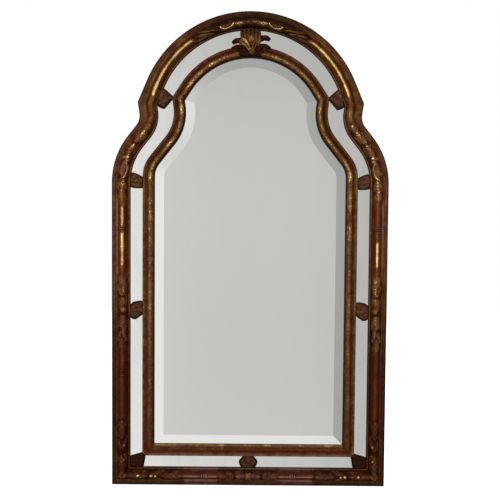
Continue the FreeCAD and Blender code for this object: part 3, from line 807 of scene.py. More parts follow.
@dataclass
class OuterMoulding(Moulding):
    """The wide outer moulding: plain gilded lengths, the reserves, between carved ones."""

    hatch_pitch: float = 4.2
    hatch_depth: float = 0.5
    hatch_width: float = 0.16
    bare_height: float = 0.2
    full_height: float = 2.6
    crest_trim: float = 0.97
    fillet_share: float = 0.24
    fillet_half_width: float = 0.03
    fillet_height: float = 1.4
    rings: tuple[float, ...] = (142.0, 745.0, 1206.0)
    ring_pitch: float = 7.0
    ring_half_width: float = 3.0
    ring_height: float = 0.9
    torus_edges: Edges = (0.35, 0.4, 0.65, 0.7)
    field_edges: Edges = (0.25, 0.32, 0.8, 0.86)
    fillet_edges: Edges = (0.15, 0.2, 0.34, 0.4)
    outer_edges: Edges = (0.18, 0.26, 0.42, 0.52)
    red_lengths: tuple[tuple[float, Edges], ...] = (
        (1.0, (95.0, 102.0, 206.0, 213.0)),
        (1.0, (585.0, 620.0, 795.0, 830.0)),
        (0.7, (1050.0, 1090.0, 1265.0, 1305.0)),
    )
    # Gold across the section: the lines at 0.24 and 0.91 to 0.935 are painted highlights, and the band on the
    # torus is gold leaf narrowed to where the highlight falls.
    gilt_shares: Table = (
        (0.0, 0.0), (0.1, 0.1), (0.17, 0.1), (0.215, 0.25), (0.24, 0.5), (0.29, 0.3), (0.36, 0.05),
        (0.43, 0.1), (0.48, 0.35), (0.52, 0.85), (0.57, 1.0), (0.61, 0.65), (0.65, 0.15), (0.7, 0.1),
        (0.79, 0.05), (0.87, 0.05), (0.91, 0.2), (0.935, 0.25), (0.96, 0.0), (1.0, 0.0),
    )
    # Darker at the outer edge and in the hollows; the near-black sight edge beside the plates is painted
    # shade.
    dirt_shares: Table = (
        (0.0, 0.75), (0.1, 0.4), (0.17, 0.35), (0.215, 0.2), (0.24, 0.0), (0.3, 0.1), (0.36, 0.3),
        (0.43, 0.25), (0.48, 0.05), (0.52, 0.0), (0.61, 0.05), (0.65, 0.1), (0.7, 0.15), (0.79, 0.4),
        (0.845, 0.5), (0.875, 0.7), (0.9, 0.3), (0.92, 0.1), (0.94, 0.15), (0.96, 0.9), (1.0, 1.0),
    )
    # Pale rubbing across the section; the pale lines at 0.24 and 0.9 to 0.935 are painted highlights.
    rub_and_sheen_shares: Table = (
        (0.0, 0.35), (0.09, 0.4), (0.14, 0.25), (0.2, 0.4), (0.24, 0.7), (0.31, 0.5), (0.36, 0.0), (0.8, 0.0),
        (0.875, 0.05), (0.9, 0.45), (0.935, 0.5), (0.955, 0.1), (1.0, 0.0),
    )

    def cartouches(self) -> list[Cartouche]:
        """The carved lengths, from the bottom centre to the top.

        Returns:
            The lengths.
        """
        return [
            Cartouche(0.0, 100.0, 100.0, 2.8, 18.0, 0.1),
            Cartouche(404.0, 197.0, 197.0, 2.8, 18.0, 0.1),
            Cartouche(938.5, 126.5, 126.5, 2.8, 18.0, 0.32),
            Cartouche(1430.0, 140.0, 140.0, 2.8, 18.0, 0.38),
            Cartouche(self.marks["top"], 200.0, 105.0, 2.8, 18.0, 0.16),
        ]

    def motifs(self) -> list[Stamp]:
        """The raised and brighter motifs over the foliage.

        Returns:
            The motifs, from the bottom centre to the top.
        """
        top = self.marks["top"]
        corner = self.marks["corner"]
        return [
            Rosette(0.0, 0.0, 0.0, 13.0, 13.0, 3.6, 0.25, 6),
            Bud(298.0, -1.0, 0.0, 4.5, 4.5, 3.4, 0.85),
            Bud(312.0, 0.0, 0.0, 6.0, 6.0, 4.2, 1.1),
            Bud(355.0, 0.0, 0.0, 5.5, 5.5, 4.0, 1.05),
            Shell(corner, 12.0, -math.pi / 2.0, 24.0, 20.0, 3.4, 0.25),
            Bud(462.0, 7.0, 0.0, 4.5, 4.5, 3.2, 0.7),
            Bud(479.0, 9.0, 0.0, 4.0, 4.0, 3.2, 0.6),
            Bud(509.0, 8.0, 0.0, 5.0, 5.0, 3.4, 0.75),
            Leaf(893.0, 7.0, math.pi, 34.0, 7.0, 3.4, 0.48, 3),
            Leaf(930.0, 6.0, math.pi, 30.0, 8.0, 3.6, 0.52, 3),
            Rosette(948.0, 6.0, 0.0, 10.0, 10.0, 4.0, 0.65, 8),
            Leaf(962.0, 6.0, 0.0, 28.0, 8.0, 3.6, 0.52, 3),
            Leaf(996.0, -4.0, math.pi / 2.0, 20.0, 3.0, 3.8, 0.7, 1),
            Leaf(1000.0, 6.0, 0.0, 26.0, 9.0, 3.8, 0.7, 3),
            Leaf(1026.0, 8.0, -0.2, 24.0, 8.0, 3.4, 0.55, 2, 0.6),
            Leaf(1304.0, 0.0, 0.0, 32.0, 8.0, 3.6, 0.7, 3),
            Leaf(1334.0, 2.0, 0.15, 30.0, 9.0, 3.9, 0.95, 3),
            Rim(1393.0, 0.0, 0.0, 31.0, 15.0, 4.3, 1.0),
            Leaf(1422.0, 6.0, -0.15, 26.0, 8.0, 4.2, 1.1, 2),
            Leaf(1428.0, -20.0, 1.2, 26.0, 6.0, 3.6, 0.6, 3),
            Leaf(1462.0, 1.0, 0.0, 26.0, 7.0, 3.8, 0.8, 3),
            Leaf(1490.0, -4.0, 0.25, 26.0, 8.0, 3.2, 0.45, 3),
            Leaf(1514.0, 1.0, 0.0, 28.0, 7.0, 3.8, 0.85, 3),
            Leaf(1545.0, 4.0, 0.1, 22.0, 6.0, 3.4, 0.7, 2),
            Leaf(1914.0, -19.0, 0.3, 60.0, 4.2, 3.6, 0.45, 1),
            Leaf(1898.0, -13.0, 0.3, 70.0, 4.2, 3.6, 0.45, 1),
            Leaf(1884.0, -5.0, 0.26, 70.0, 4.2, 3.4, 0.36, 1),
            Leaf(1878.0, 8.0, 0.1, 76.0, 4.6, 3.0, 0.3, 1),
            Rim(top - 79.0, -2.0, 0.0, 26.0, 14.0, 4.3, 1.05),
            Leaf(top - 52.0, 3.0, 0.0, 26.0, 7.5, 4.0, 1.0, 3),
            Leaf(top - 24.0, -4.0, 0.0, 20.0, 9.0, 3.0, 0.3, 3),
            Shell(top, 10.0, -math.pi / 2.0, 24.0, 16.0, 3.2, 0.15, 9),
        ]

    def level(self, along: Array, side: Side) -> Array:
        """How much gold leaf is left on the reserves along the moulding.

        Args:
            along: Lengths along the centre line, from 0 up.
            side: Side that the length is for. The right one has lost more of it.

        Returns:
            Shares from 0 to 1.
        """
        ear = self.marks["ear"]
        worn = 0.95 if side is Side.LEFT else 0.4
        table = (
            (100.0, 0.14), (207.0, 0.14), (601.0, 0.06), (812.0, 0.08), (1065.0, 0.4), (1086.0, 0.5),
            (1094.0, 0.95), (1162.0, 0.95), (1172.0, worn), (1270.0, worn), (1282.0, 0.35), (1290.0, 0.3),
            (1565.0, 0.45), (ear - 20.0, 0.4), (ear - 12.0, 0.15), (ear + 22.0, 0.15), (ear + 32.0, 1.0),
            (1860.0, 0.97), (1872.0, 0.6),
        )
        return look_up(table, along)

    def rubbing(self, along: Array) -> Array:
        """How much of the bare ground is rubbed pale along the moulding, which also scales the pale painted
        highlight lines.
        """
        table = (
            (0.0, 0.7), (98.0, 0.7), (102.0, 1.1), (206.0, 1.1), (210.0, 0.7), (400.0, 0.4), (600.0, 0.45),
            (812.0, 0.5), (1065.0, 0.7), (1290.0, 0.85), (1565.0, 0.7), (1650.0, 0.6), (1900.0, 0.6),
        )
        return look_up(table, along)

    def grime(self, along: Array) -> Array:
        """How much dirt lies over all along the moulding."""
        table = (
            (0.0, 0.2), (600.0, 0.25), (812.0, 0.22), (1065.0, 0.0), (1290.0, 0.0), (1565.0, 0.04),
            (1860.0, 0.04), (1890.0, 0.22), (2070.0, 0.3),
        )
        return look_up(table, along)

    def fillet_highlight_left(self, along: Array) -> Array:
        """How much of its painted highlight, in gold and pale rubbing, the fillet beside the outer edge keeps
        along the moulding.
        """
        ear = self.marks["ear"]
        table = (
            (0.0, 0.4), (98.0, 0.4), (102.0, 0.9), (206.0, 0.9), (210.0, 0.4), (600.0, 0.4), (812.0, 0.5),
            (820.0, 0.3), (1055.0, 0.35), (1065.0, 0.9), (1285.0, 0.9), (1300.0, 0.25), (1565.0, 0.25),
            (ear, 0.3), (ear + 40.0, 0.12), (1860.0, 0.12), (1890.0, 0.0),
        )
        return look_up(table, along)

    def drift(self, along: Array) -> Array:
        """See Moulding."""
        ear = self.marks["ear"]
        table = (
            (1560.0, 0.045), (1585.0, 0.13), (ear + 10.0, 0.13), (ear + 40.0, 0.065), (1860.0, 0.065),
            (1885.0, 0.13), (1985.0, 0.13), (2010.0, 0.085),
        )
        return look_up(table, along)

    def brown(self, along: Array) -> Array:
        """How far the ground is dulled from red to brown along the moulding.

        Args:
            along: Lengths along the centre line, from 0 up.

        Returns:
            Shares from 0 to 1.
        """
        found = np.ones_like(along)
        for strength, edges in self.red_lengths:
            found = found - strength * plateau(along, edges)
        return found

    def ornament(self, along: Array, across: Array, share: Array) -> tuple[Array, Carving]:
        """Presses all foliage and motifs into an even ground.

        Args:
            along: Lengths along the centre line, from 0 up.
            across: Insets from the centre line.
            share: Insets as shares of the width.

        Returns:
            How far each place belongs to a carved length, from 0 to 1, and the carving there.
        """
        carved = np.zeros_like(along)
        carving = Carving(np.zeros_like(along), np.zeros_like(along))
        for cartouche in self.cartouches():
            carved = np.maximum(carved, cartouche.mask(along, across))
            for stamp in cartouche.foliage():
                stamp.press(along, across, carving)
        for stamp in self.motifs():
            stamp.press(along, across, carving)
        return carved * plateau(share, self.field_edges), carving

    def grounds(self, share: Array, depth: Array) -> tuple[Array, Array]:
        """Depths of the two grounds: the plain section with its fillet, and the cushion under the carving.

        Args:
            share: Insets as shares of the width.
            depth: Depths of the plain section there.

        Returns:
            The depths of the plain ground and those of the cushion.
        """
        fillet = self.fillet_height * dome((share - self.fillet_share) / self.fillet_half_width)
        plain = LEVELS.seat + (depth - LEVELS.seat) * self.crest_trim + fillet
        part = np.clip((share - 0.16) / 0.68, 0.0, 1.0)
        rise = self.front_depth - LEVELS.seat
        return plain, LEVELS.seat + rise * (0.1 + 0.74 * np.sin(math.pi * part) ** 0.8)

    def hatch(self, along: Array, across: Array) -> Array:
        """Depths of the crossed lines that are cut into the cushion.

        Args:
            along: Lengths along the centre line, from 0 up.
            across: Insets from the centre line.

        Returns:
            The depths.
        """
        lines = np.minimum(
            np.abs(((along + across) / self.hatch_pitch) % 1.0 - 0.5),
            np.abs(((along - across) / self.hatch_pitch) % 1.0 - 0.5),
        )
        return self.hatch_depth * np.clip(1.0 - lines / self.hatch_width, 0.0, 1.0)

    def plain_tone(self, along: Array, share: Array, side: Side) -> tuple[Array, Array, Array]:
        """Tone of the plain section.

        Args:
            along: Lengths along the centre line, from 0 up.
            share: Insets as shares of the width.
            side: Side that the length is for.

        Returns:
            How gilded, dirty and rubbed each place is.
        """
        kept = 1.0 - plateau(share, self.fillet_edges) * (1.0 - self.fillet_highlight_left(along))
        brown = self.brown(along)
        rail = 1.0 - smooth(along, 205.0, 260.0)
        # Pale painted highlight lines along the crest and the inner edge of the bottom rail.
        ridge = 0.6 * swell(share, 0.53, 0.05) + 0.4 * smooth(share, 0.72, 0.78)
        gilt = look_up(self.gilt_shares, share) * self.level(along, side) * kept
        dirt = look_up(self.dirt_shares, share) + self.grime(along) + 0.1 * brown
        rub_and_sheen = (look_up(self.rub_and_sheen_shares, share) + rail * ridge) * self.rubbing(along) * kept
        return np.maximum(gilt, 0.32 * brown), dirt, rub_and_sheen

    def turn_rings(self, along: Array, share: Array, relief: Relief) -> None:
        """Adds the rings on the torus, three together at each of their places.

        Args:
            along: Lengths along the centre line, from 0 up.
            share: Insets as shares of the width.
            relief: The relief that is changed.
        """
        torus = plateau(share, self.torus_edges)
        rubbing = self.rubbing(along)
        for place in self.rings:
            relief.gilt = relief.gilt * (1.0 - 0.75 * swell(along, place, 9.0))
            for index in (-1, 0, 1):
                away = along - place - self.ring_pitch * index
                ring = dome(away / self.ring_half_width) * torus
                relief.depth = relief.depth + self.ring_height * ring
                relief.rub_and_sheen = relief.rub_and_sheen + 0.45 * ring * rubbing
                relief.dirt = relief.dirt + 0.7 * swell(np.abs(away), 3.5, 1.2) * torus

    def tone_carving(self, along: Array, carved: Array, carving: Carving, relief: Relief) -> None:
        """Gives the carved lengths their gold on the motifs, with its painted highlights, and a darker ground
        between them.

        Args:
            along: Lengths along the centre line, from 0 up.
            carved: How far each place belongs to a carved length.
            carving: The carving there.
            relief: The relief that is changed.
        """
        leaf = np.clip(carving.height * carved / self.full_height, 0.0, 1.0)
        dirt = 0.58 - 0.58 * leaf + self.grime(along)
        relief.gilt = relief.gilt + (0.06 + carving.gild - relief.gilt) * carved
        relief.dirt = relief.dirt + (dirt - relief.dirt) * carved
        relief.rub_and_sheen = relief.rub_and_sheen + (0.55 * leaf * self.rubbing(along) - relief.rub_and_sheen) * carved

    def darken_arch(self, along: Array, share: Array, relief: Relief) -> None:
        """Darkens the outer half of ear and arch as painted shade, and paints the crest's shadow on the inner
        edge behind it.

        Args:
            along: Lengths along the centre line, from 0 up.
            share: Insets as shares of the width.
            relief: The relief that is changed.
        """
        shadow = (1.0 - smooth(self.marks["top"] - along, 34.0, 48.0)) * smooth(share, 0.66, 0.74)
        arch = 0.22 * smooth(along, 1560.0, 1640.0) + 0.3 * smooth(along, 1880.0, 1960.0)
        relief.dirt = np.maximum(relief.dirt, shadow) + plateau(share, self.outer_edges) * arch

    def relief(self, along: Array, inset: Array, depth: Array, side: Side) -> Relief:
        """See Moulding."""
        along = np.abs(along)
        share = inset / self.width
        across = inset - self.line
        carved, carving = self.ornament(along, across, share)
        height = carving.height * carved
        plain, cushion = self.grounds(share, depth)
        hatch = self.hatch(along, across) * (height < self.bare_height)
        front = plain + (cushion - plain - hatch) * carved + height
        result = Relief(front, *self.plain_tone(along, share, side))
        self.turn_rings(along, share, result)
        self.tone_carving(along, carved, carving, result)
        self.darken_arch(along, share, result)
        result.depth = np.minimum(result.depth, self.limit)
        return result


@dataclass
class InnerMoulding(Moulding):
    """The narrow inner moulding: a beaded lip and a torus with running leaves."""

    bead_pitch: float = 5.0
    bead_height: float = 0.9
    leaf_pitch: float = 27.0
    leaf_half_width: float = 6.2
    leaf_height: float = 2.4
    leaf_rows: tuple[Place, ...] = ((0.0, 0.0, 1.0), (0.5, 5.0, 0.75), (0.5, -5.0, 0.75))
    ground_drop: float = 1.6
    left_shift: float = 7.0
    crest_trim: float = 0.95
    ridge_drift: float = 0.115
    torus_edges: Edges = (0.34, 0.4, 0.7, 0.76)
    lip_edges: Edges = (0.0, 0.03, 0.16, 0.2)
    flank_edges: Edges = (0.14, 0.2, 0.4, 0.48)
    # Gold across the section; its band on the torus is partly gold leaf and partly a painted highlight.
    gilt_shares: Table = (
        (0.0, 0.1), (0.04, 0.3), (0.1, 0.45), (0.17, 0.25), (0.22, 0.05), (0.32, 0.1), (0.4, 0.35),
        (0.48, 0.65), (0.56, 0.9), (0.66, 0.9), (0.72, 0.7), (0.77, 0.5), (0.86, 0.3), (0.93, 0.1),
        (1.0, 0.0),
    )
    # Darker at the outer edge and in the hollows; the near-black sight edge beside the glass is painted
    # shade.
    dirt_shares: Table = (
        (0.0, 0.6), (0.04, 0.3), (0.1, 0.1), (0.17, 0.2), (0.22, 0.5), (0.3, 0.5), (0.38, 0.25),
        (0.5, 0.05), (0.64, 0.05), (0.72, 0.15), (0.78, 0.25), (0.85, 0.3), (0.92, 0.6), (0.96, 1.0),
        (1.0, 1.0),
    )
    rub_and_sheen_shares: Table = (
        (0.0, 0.3), (0.05, 0.6), (0.15, 0.6), (0.2, 0.4), (0.34, 0.3), (0.42, 0.5), (0.7, 0.5), (0.78, 0.5),
        (0.86, 0.7), (1.0, 0.7),
    )

    def level(self, along: Array) -> Array:
        """How much gold leaf is left along the moulding.

        Args:
            along: Lengths along the centre line, from 0 up.

        Returns:
            Shares from 0 to 1.
        """
        marks = self.marks
        table = (
            (0.0, 0.15), (marks["corner"], 0.15), (marks["corner"] + 200.0, 0.45), (marks["stile"], 0.9),
            (marks["bend"], 1.0), (marks["top"], 1.0),
        )
        return look_up(table, along)

    def drift(self, along: Array) -> Array:
        """See Moulding."""
        return np.full_like(along, self.ridge_drift)

    def leaves(self, along: Array, across: Array) -> Array:
        """Running leaves: a row on the ridge, and one at each side between its leaves.

        Args:
            along: Lengths along the centre line, from 0 up.
            across: Insets from the centre line.

        Returns:
            Heights from 0 to 1.
        """
        found = np.zeros_like(along)
        form = Leaf(0.0, 0.0, 0.0, 1.0, 1.0, 1.0, lobes=2).form
        phase = along / self.leaf_pitch
        for start, shift, high in self.leaf_rows:
            ahead = ((phase - start) % 1.0) * 1.15
            found = np.maximum(found, high * form(ahead, (across - shift) / self.leaf_half_width))
        return found

    def tone_leaves(self, along: Array, share: Array, leaf: Array, relief: Relief) -> None:
        """Gilds the leaves, each a little differently. At the head mostly the ridge keeps its gold.

        Args:
            along: Lengths along the centre line, from 0 up.
            share: Insets as shares of the width.
            leaf: Heights of the leaves from 0 to 1.
            relief: The relief that is changed.
        """
        torus = plateau(share, self.torus_edges)
        head = smooth(along, self.marks["stile"], self.marks["bend"])
        ridge = 1.0 - head * (1.0 - swell(share, 0.6, 0.16))
        bright = 0.62 + 0.24 * np.sin(along / 17.3) + 0.2 * np.sin(along / 7.9 + 1.3)
        gilt = relief.gilt + (0.42 + 0.62 * leaf * bright - relief.gilt) * torus
        gilt = gilt * self.level(along)
        dirt = relief.dirt + (0.4 - 0.42 * leaf - relief.dirt) * torus * (1.0 - 0.5 * head)
        relief.gilt = (gilt * (1.0 - 0.35 * head) + 0.2 * head * torus) * (0.3 + 0.7 * ridge)
        # At the head the sight edge is darkened as painted shade, and the sides of the ridge are darkened
        # too.
        relief.dirt = dirt + head * (0.16 * (1.0 - ridge) + 0.3 * smooth(share, 0.8, 0.86))

    def dull_flank(self, share: Array, relief: Relief) -> None:
        """Dulls the outer flank from red to brown.

        Args:
            share: Insets as shares of the width.
            relief: The relief that is changed.
        """
        flank = plateau(share, self.flank_edges)
        relief.gilt = relief.gilt + (np.maximum(relief.gilt, 0.34) - relief.gilt) * flank
        relief.dirt = relief.dirt + 0.08 * flank

    def rub_and_sheen_rail(self, along: Array, share: Array, relief: Relief) -> None:
        """Rubs the bottom rail more than the rest, and gilds and cleans its upward-facing inner edge as a
        painted highlight.

        Args:
            along: Lengths along the centre line, from 0 up.
            share: Insets as shares of the width.
            relief: The relief that is changed.
        """
        corner = self.marks["corner"]
        rail = 1.0 - smooth(along, corner - 6.0, corner + 6.0)
        # Painted highlight on the rail's inner edge: gold, and almost no dirt.
        sight = rail * smooth(share, 0.78, 0.84)
        outside = rail * (1.0 - smooth(share, 0.36, 0.44))
        dirt = relief.dirt + (0.05 - relief.dirt) * sight
        relief.gilt = relief.gilt + (0.55 - relief.gilt) * sight
        relief.dirt = (dirt + 0.15 * rail) * (1.0 - 0.45 * outside)
        relief.rub_and_sheen = relief.rub_and_sheen * (0.35 + 0.35 * rail * (1.0 - 1.4 * plateau(share, self.torus_edges)))

    def relief(self, along: Array, inset: Array, depth: Array, side: Side) -> Relief:
        """See Moulding."""
        along = np.abs(along) + (self.left_shift if side is Side.LEFT else 0.0)
        share = inset / self.width
        torus = plateau(share, self.torus_edges)
        lip = plateau(share, self.lip_edges)
        bead = dome(((along / self.bead_pitch) % 1.0 - 0.5) / 0.42) * dome((share - 0.095) / 0.1)
        leaf = self.leaves(along, inset - self.line) * torus
        plain = LEVELS.seat + (depth - LEVELS.seat) * self.crest_trim
        carved = plain + (self.leaf_height * leaf - self.ground_drop) * torus
        carved = carved + self.bead_height * (bead - 0.5) * lip
        tones = (look_up(table, share) for table in (self.gilt_shares, self.dirt_shares, self.rub_and_sheen_shares))
        result = Relief(np.minimum(carved, self.limit), *tones)
        self.tone_leaves(along, share, leaf, result)
        result.dirt = np.maximum(result.dirt, 0.6 * lip * (1.0 - np.clip(bead * 1.4, 0.0, 1.0)))
        self.dull_flank(share, result)
        self.rub_and_sheen_rail(along, share, result)
        shadow = 1.0 - smooth(self.marks["top"] - along, 26.0, 40.0)
        result.gilt = result.gilt * (1.0 - shadow)
        result.dirt = np.maximum(result.dirt, shadow)
        return result


OUTER = OuterMoulding(
    prefix="outer",
    course=OUTER_COURSE,
    width=60.0,
    front_depth=LEVELS.outer_front,
    crest_share=0.525,
    front_shares=(
        ((0.0, 0.0),),
        ((0.10, 0.22), (0.22, 0.06)),
        ((0.25, 0.02),),
        ((0.33, 0.24), (0.36, 0.62)),
        ((0.525, 1.0), (0.69, 0.62)),
        ((0.715, 0.30), (0.79, 0.16)),
        ((0.845, 0.26), (0.90, 0.16)),
        ((1.0, 0.10),),
    ),
    back=((60.0, 27.2), (53.5, 27.2), (53.5, 24.0), (44.0, 24.0), (44.0, 0.0), (0.0, 0.0)),
    slot="outer_giltwood",
    limit=LEVELS.outer_front - LEVELS.skin,
    crack=0.4,
)
INNER = InnerMoulding(
    prefix="inner",
    course=INNER_COURSE,
    width=38.0,
    front_depth=LEVELS.inner_front,
    crest_share=0.54,
    front_shares=(
        ((0.0, 0.12),),
        ((0.095, 0.28), (0.19, 0.14)),
        ((0.22, 0.08),),
        ((0.31, 0.24), (0.34, 0.58)),
        ((0.54, 1.0), (0.74, 0.58)),
        ((0.77, 0.50),),
        ((0.80, 0.50),),
        ((0.86, 0.18), (1.0, 0.08)),
    ),
    back=((38.0, 24.0), (6.5, 24.0), (6.5, 27.2), (0.0, 27.2)),
    slot="inner_giltwood",
    limit=LEVELS.inner_front - LEVELS.skin,
    column=1.1,
    crack=0.5,
)


@dataclass(frozen=True)
class Clasp:
    """A carved clasp across the band of marginal plates, as an outline round a station."""

    name: str
    centre: Point
    heading: float
    reach: float
    half_length: float
    shares: tuple[Point, ...]
    gold: float = 1.0
    shade: float = 4.0
    round: float = 9.0
    ribs: float = 14.0
    pitch: float = 1.1
    rise: float = 9.6

    def outline(self) -> list[Point]:
        """Outline in local (across, along) lengths, where across points inward."""
        return [(across * self.reach, along * self.half_length) for across, along in self.shares]

    def edges(self) -> list[tuple[Array, Array]]:
        """Edges of the outline, with rounded corners.

        Returns:
            A point and the outward direction of each edge.
        """
        points = np.array(self.outline())
        middle = points.mean(axis=0)
        sides = []
        for first, second in zip(points, np.roll(points, -1, axis=0)):
            way = second - first
            normal = np.array((way[1], -way[0])) / np.hypot(*way)
            sides.append((first, normal if normal @ (first - middle) > 0 else -normal))
        found = list(sides)
        for (_, before), (corner, after) in zip(np.roll(np.array(sides), 1, axis=0), sides):
            heart = corner - self.round * (before + after) / (1.0 + before @ after)
            for share in (0.2, 0.4, 0.6, 0.8):
                normal = before + (after - before) * share
                normal = normal / np.hypot(*normal)
                found.append((heart + self.round * normal, normal))
        return found

    def relief(self, across: Array, along: Array, margin: Array, under: Array) -> Relief:
        """Relief of a ribbed and lobed shell that opens inward, with a rolled edge.

        Args:
            across: Places across the band of plates.
            along: Places along it.
            margin: Distance to the nearest edge.
            under: 1 where that edge faces down, and 0 where it faces up.

        Returns:
            The relief, darker towards the lower edge as painted shade.
        """
        body = 1.0 - np.exp(-margin / 4.0)
        angle = np.arctan2(along, across + 1.5 * self.reach)
        rib = 0.5 + 0.5 * np.cos(angle * self.ribs)
        lobe = np.cos(0.74 * across + 1.6 * np.sin(0.34 * along))
        lobe = lobe * np.cos(0.62 * along + 1.4 * np.sin(0.4 * across))
        cell = 0.3 * rib + 0.35 + 0.35 * lobe
        inside = smooth(margin, 1.5, 4.5)
        depth = LEVELS.glass_front + self.rise * np.clip(0.2 + 0.54 * body + 0.28 * inside * cell, 0.05, 1.0)
        gilt = (0.14 + 0.26 * inside * cell) * self.gold
        dirt = 0.6 + 0.6 * np.exp(-margin / 2.5) + 0.5 * inside * (0.5 - cell) + 0.35 * (1.0 - self.gold)
        # Painted shade: a dark band along the edges that face down.
        dirt = dirt + 0.9 * under * (1.0 - smooth(margin, self.shade - 2.0, self.shade + 2.0))
        return Relief(depth, gilt, np.clip(dirt, 0.0, 1.0), np.full_like(margin, 0.32 * self.gold))

    def build(self, side: Side, finish: bpy.types.Material) -> bpy.types.Object:
        """Cuts the clasp from a fine grid, carves it and closes its edge down to the glass.

        Args:
            side: Side that the clasp is for.
            finish: Its material.

        Returns:
            The finished piece.
        """
        mesh = bmesh.new()
        size = max(self.reach, self.half_length) * 1.05
        count = max(8, round(2.0 * size / self.pitch))
        bmesh.ops.create_grid(mesh, x_segments=count, y_segments=count, size=size)
        edges = self.edges()
        for point, normal in edges:
            trim(mesh, (*point, 0.0), (*normal, 0.0))
        flat = np.array([(vert.co.x, vert.co.y) for vert in mesh.verts])
        margins = np.array([-(flat - point) @ normal for point, normal in edges])
        cos, sin = math.cos(self.heading), math.sin(self.heading)
        falls = np.array([normal[0] * sin - normal[1] * cos for _, normal in edges])
        under = np.clip(1.7 * falls[margins.argmin(axis=0)], 0.0, 1.0)
        relief = self.relief(flat[:, 0], flat[:, 1], np.clip(margins.min(axis=0), 0.0, None), under)
        store(mesh, relief)
        for vert, (across, along), deep in zip(mesh.verts, flat, relief.depth):
            x = self.centre[0] - across * cos - along * sin
            vert.co = (x, -deep, self.centre[1] - across * sin + along * cos)
        dirt = mesh.verts.layers.float["dirt"]
        # The side walls down to the glass are painted black as shade.
        skirt = bmesh.ops.extrude_edge_only(mesh, edges=open_edges(mesh))["geom"]
        for vert in skirt:
            if isinstance(vert, bmesh.types.BMVert):
                vert.co.y = -LEVELS.glass_front - LEVELS.skin
                vert[dirt] = 1.0
        bmesh.ops.holes_fill(mesh, edges=open_edges(mesh), sides=0)
        node = self.name if self.name == "bottom_clasp" else f"{side.label}_{self.name}"
        piece = finish_mesh(mesh, node + "_carved", side)
        piece.data.materials.append(finish)
        return place_piece(piece, "carved_giltwood", node)


@dataclass
class ClaspSet:
    """All nine clasps of the marginal band."""

    lap: float = 4.0
    margin_side: float = 38.0
    margin_bottom: float = 36.0
    ear_length: float = 80.0
    shoulder_length: float = 52.0
    shoulder_raise: float = 6.5
    middle_length: float = 62.0
    bottom_length: float = 64.0
    middle_share: float = 0.583
    corner_centre: Point = (359.0, 80.0)
    corner_reach: float = 25.0
    corner_half_length: float = 26.0

    def clasps(self) -> list[Clasp]:
        """The clasps of the right side, and the one at the bottom centre.

        Returns:
            The clasps, from the ear down.
        """
        outer_ear = OUTER_COURSE.ear_point(OUTER.width)
        inner_ear = INNER_COURSE.ear
        ear_heading = math.atan2(outer_ear[1] - inner_ear[1], outer_ear[0] - inner_ear[0])
        ear_centre = ((outer_ear[0] + inner_ear[0]) / 2.0, (outer_ear[1] + inner_ear[1]) / 2.0)
        side_x = OUTER_COURSE.half_width - OUTER.width - self.margin_side / 2.0
        reach = self.margin_side / 2.0 + self.lap
        low = OUTER.width + self.margin_bottom / 2.0
        return [
            Clasp(
                "ear_clasp", ear_centre, ear_heading, math.dist(outer_ear, inner_ear) / 2.0 + self.lap,
                self.ear_length / 2.0,
                ((-0.14, 0.85), (0.48, 1), (1, 0.08), (1, -0.12), (-0.44, -0.6), (-0.97, -0.12)), shade=7.0,
            ),
            Clasp(
                "shoulder_clasp", (side_x, OUTER_COURSE.stile_top + self.shoulder_raise), 0.0, reach,
                self.shoulder_length / 2.0,
                ((-1, 0.95), (-0.45, 1), (0.2, 0.8), (1, 0.4), (1, -0.95), (-0.2, -0.95), (-1, -0.8)),
            ),
            Clasp(
                "middle_clasp", (side_x, self.middle_share * OUTER_COURSE.stile_top), 0.0, reach,
                self.middle_length / 2.0,
                (
                    (-1, 0.5), (-0.45, 0.85), (0.6, 1), (1, 0.8),
                    (1, -0.4), (-0.1, -1), (-0.55, -0.95), (-1, -0.7),
                ),
            ),
            Clasp(
                "corner_clasp", self.corner_centre, 0.0, self.corner_reach, self.corner_half_length,
                ((-1, -0.92), (-1, 0.55), (0.84, 1.077), (1.16, 0.77), (0.848, -0.92)), gold=0.4,
            ),
            Clasp(
                "bottom_clasp", (0.0, low), -math.pi / 2.0, self.margin_bottom / 2.0 + self.lap,
                self.bottom_length / 2.0,
                ((-1, 0.68), (0.05, 1), (1, 0.45), (1, -0.45), (0.05, -1), (-1, -0.68)),
            ),
        ]

    def build(self, finish: bpy.types.Material) -> list[bpy.types.Object]:
        """Builds the clasps of both sides and the one at the bottom centre.

        Args:
            finish: Their material.

        Returns:
            The pieces.
        """
        pieces = []
        for clasp in self.clasps():
            sides = (Side.RIGHT,) if clasp.name == "bottom_clasp" else tuple(Side)
            pieces += [clasp.build(side, finish) for side in sides]
        return pieces


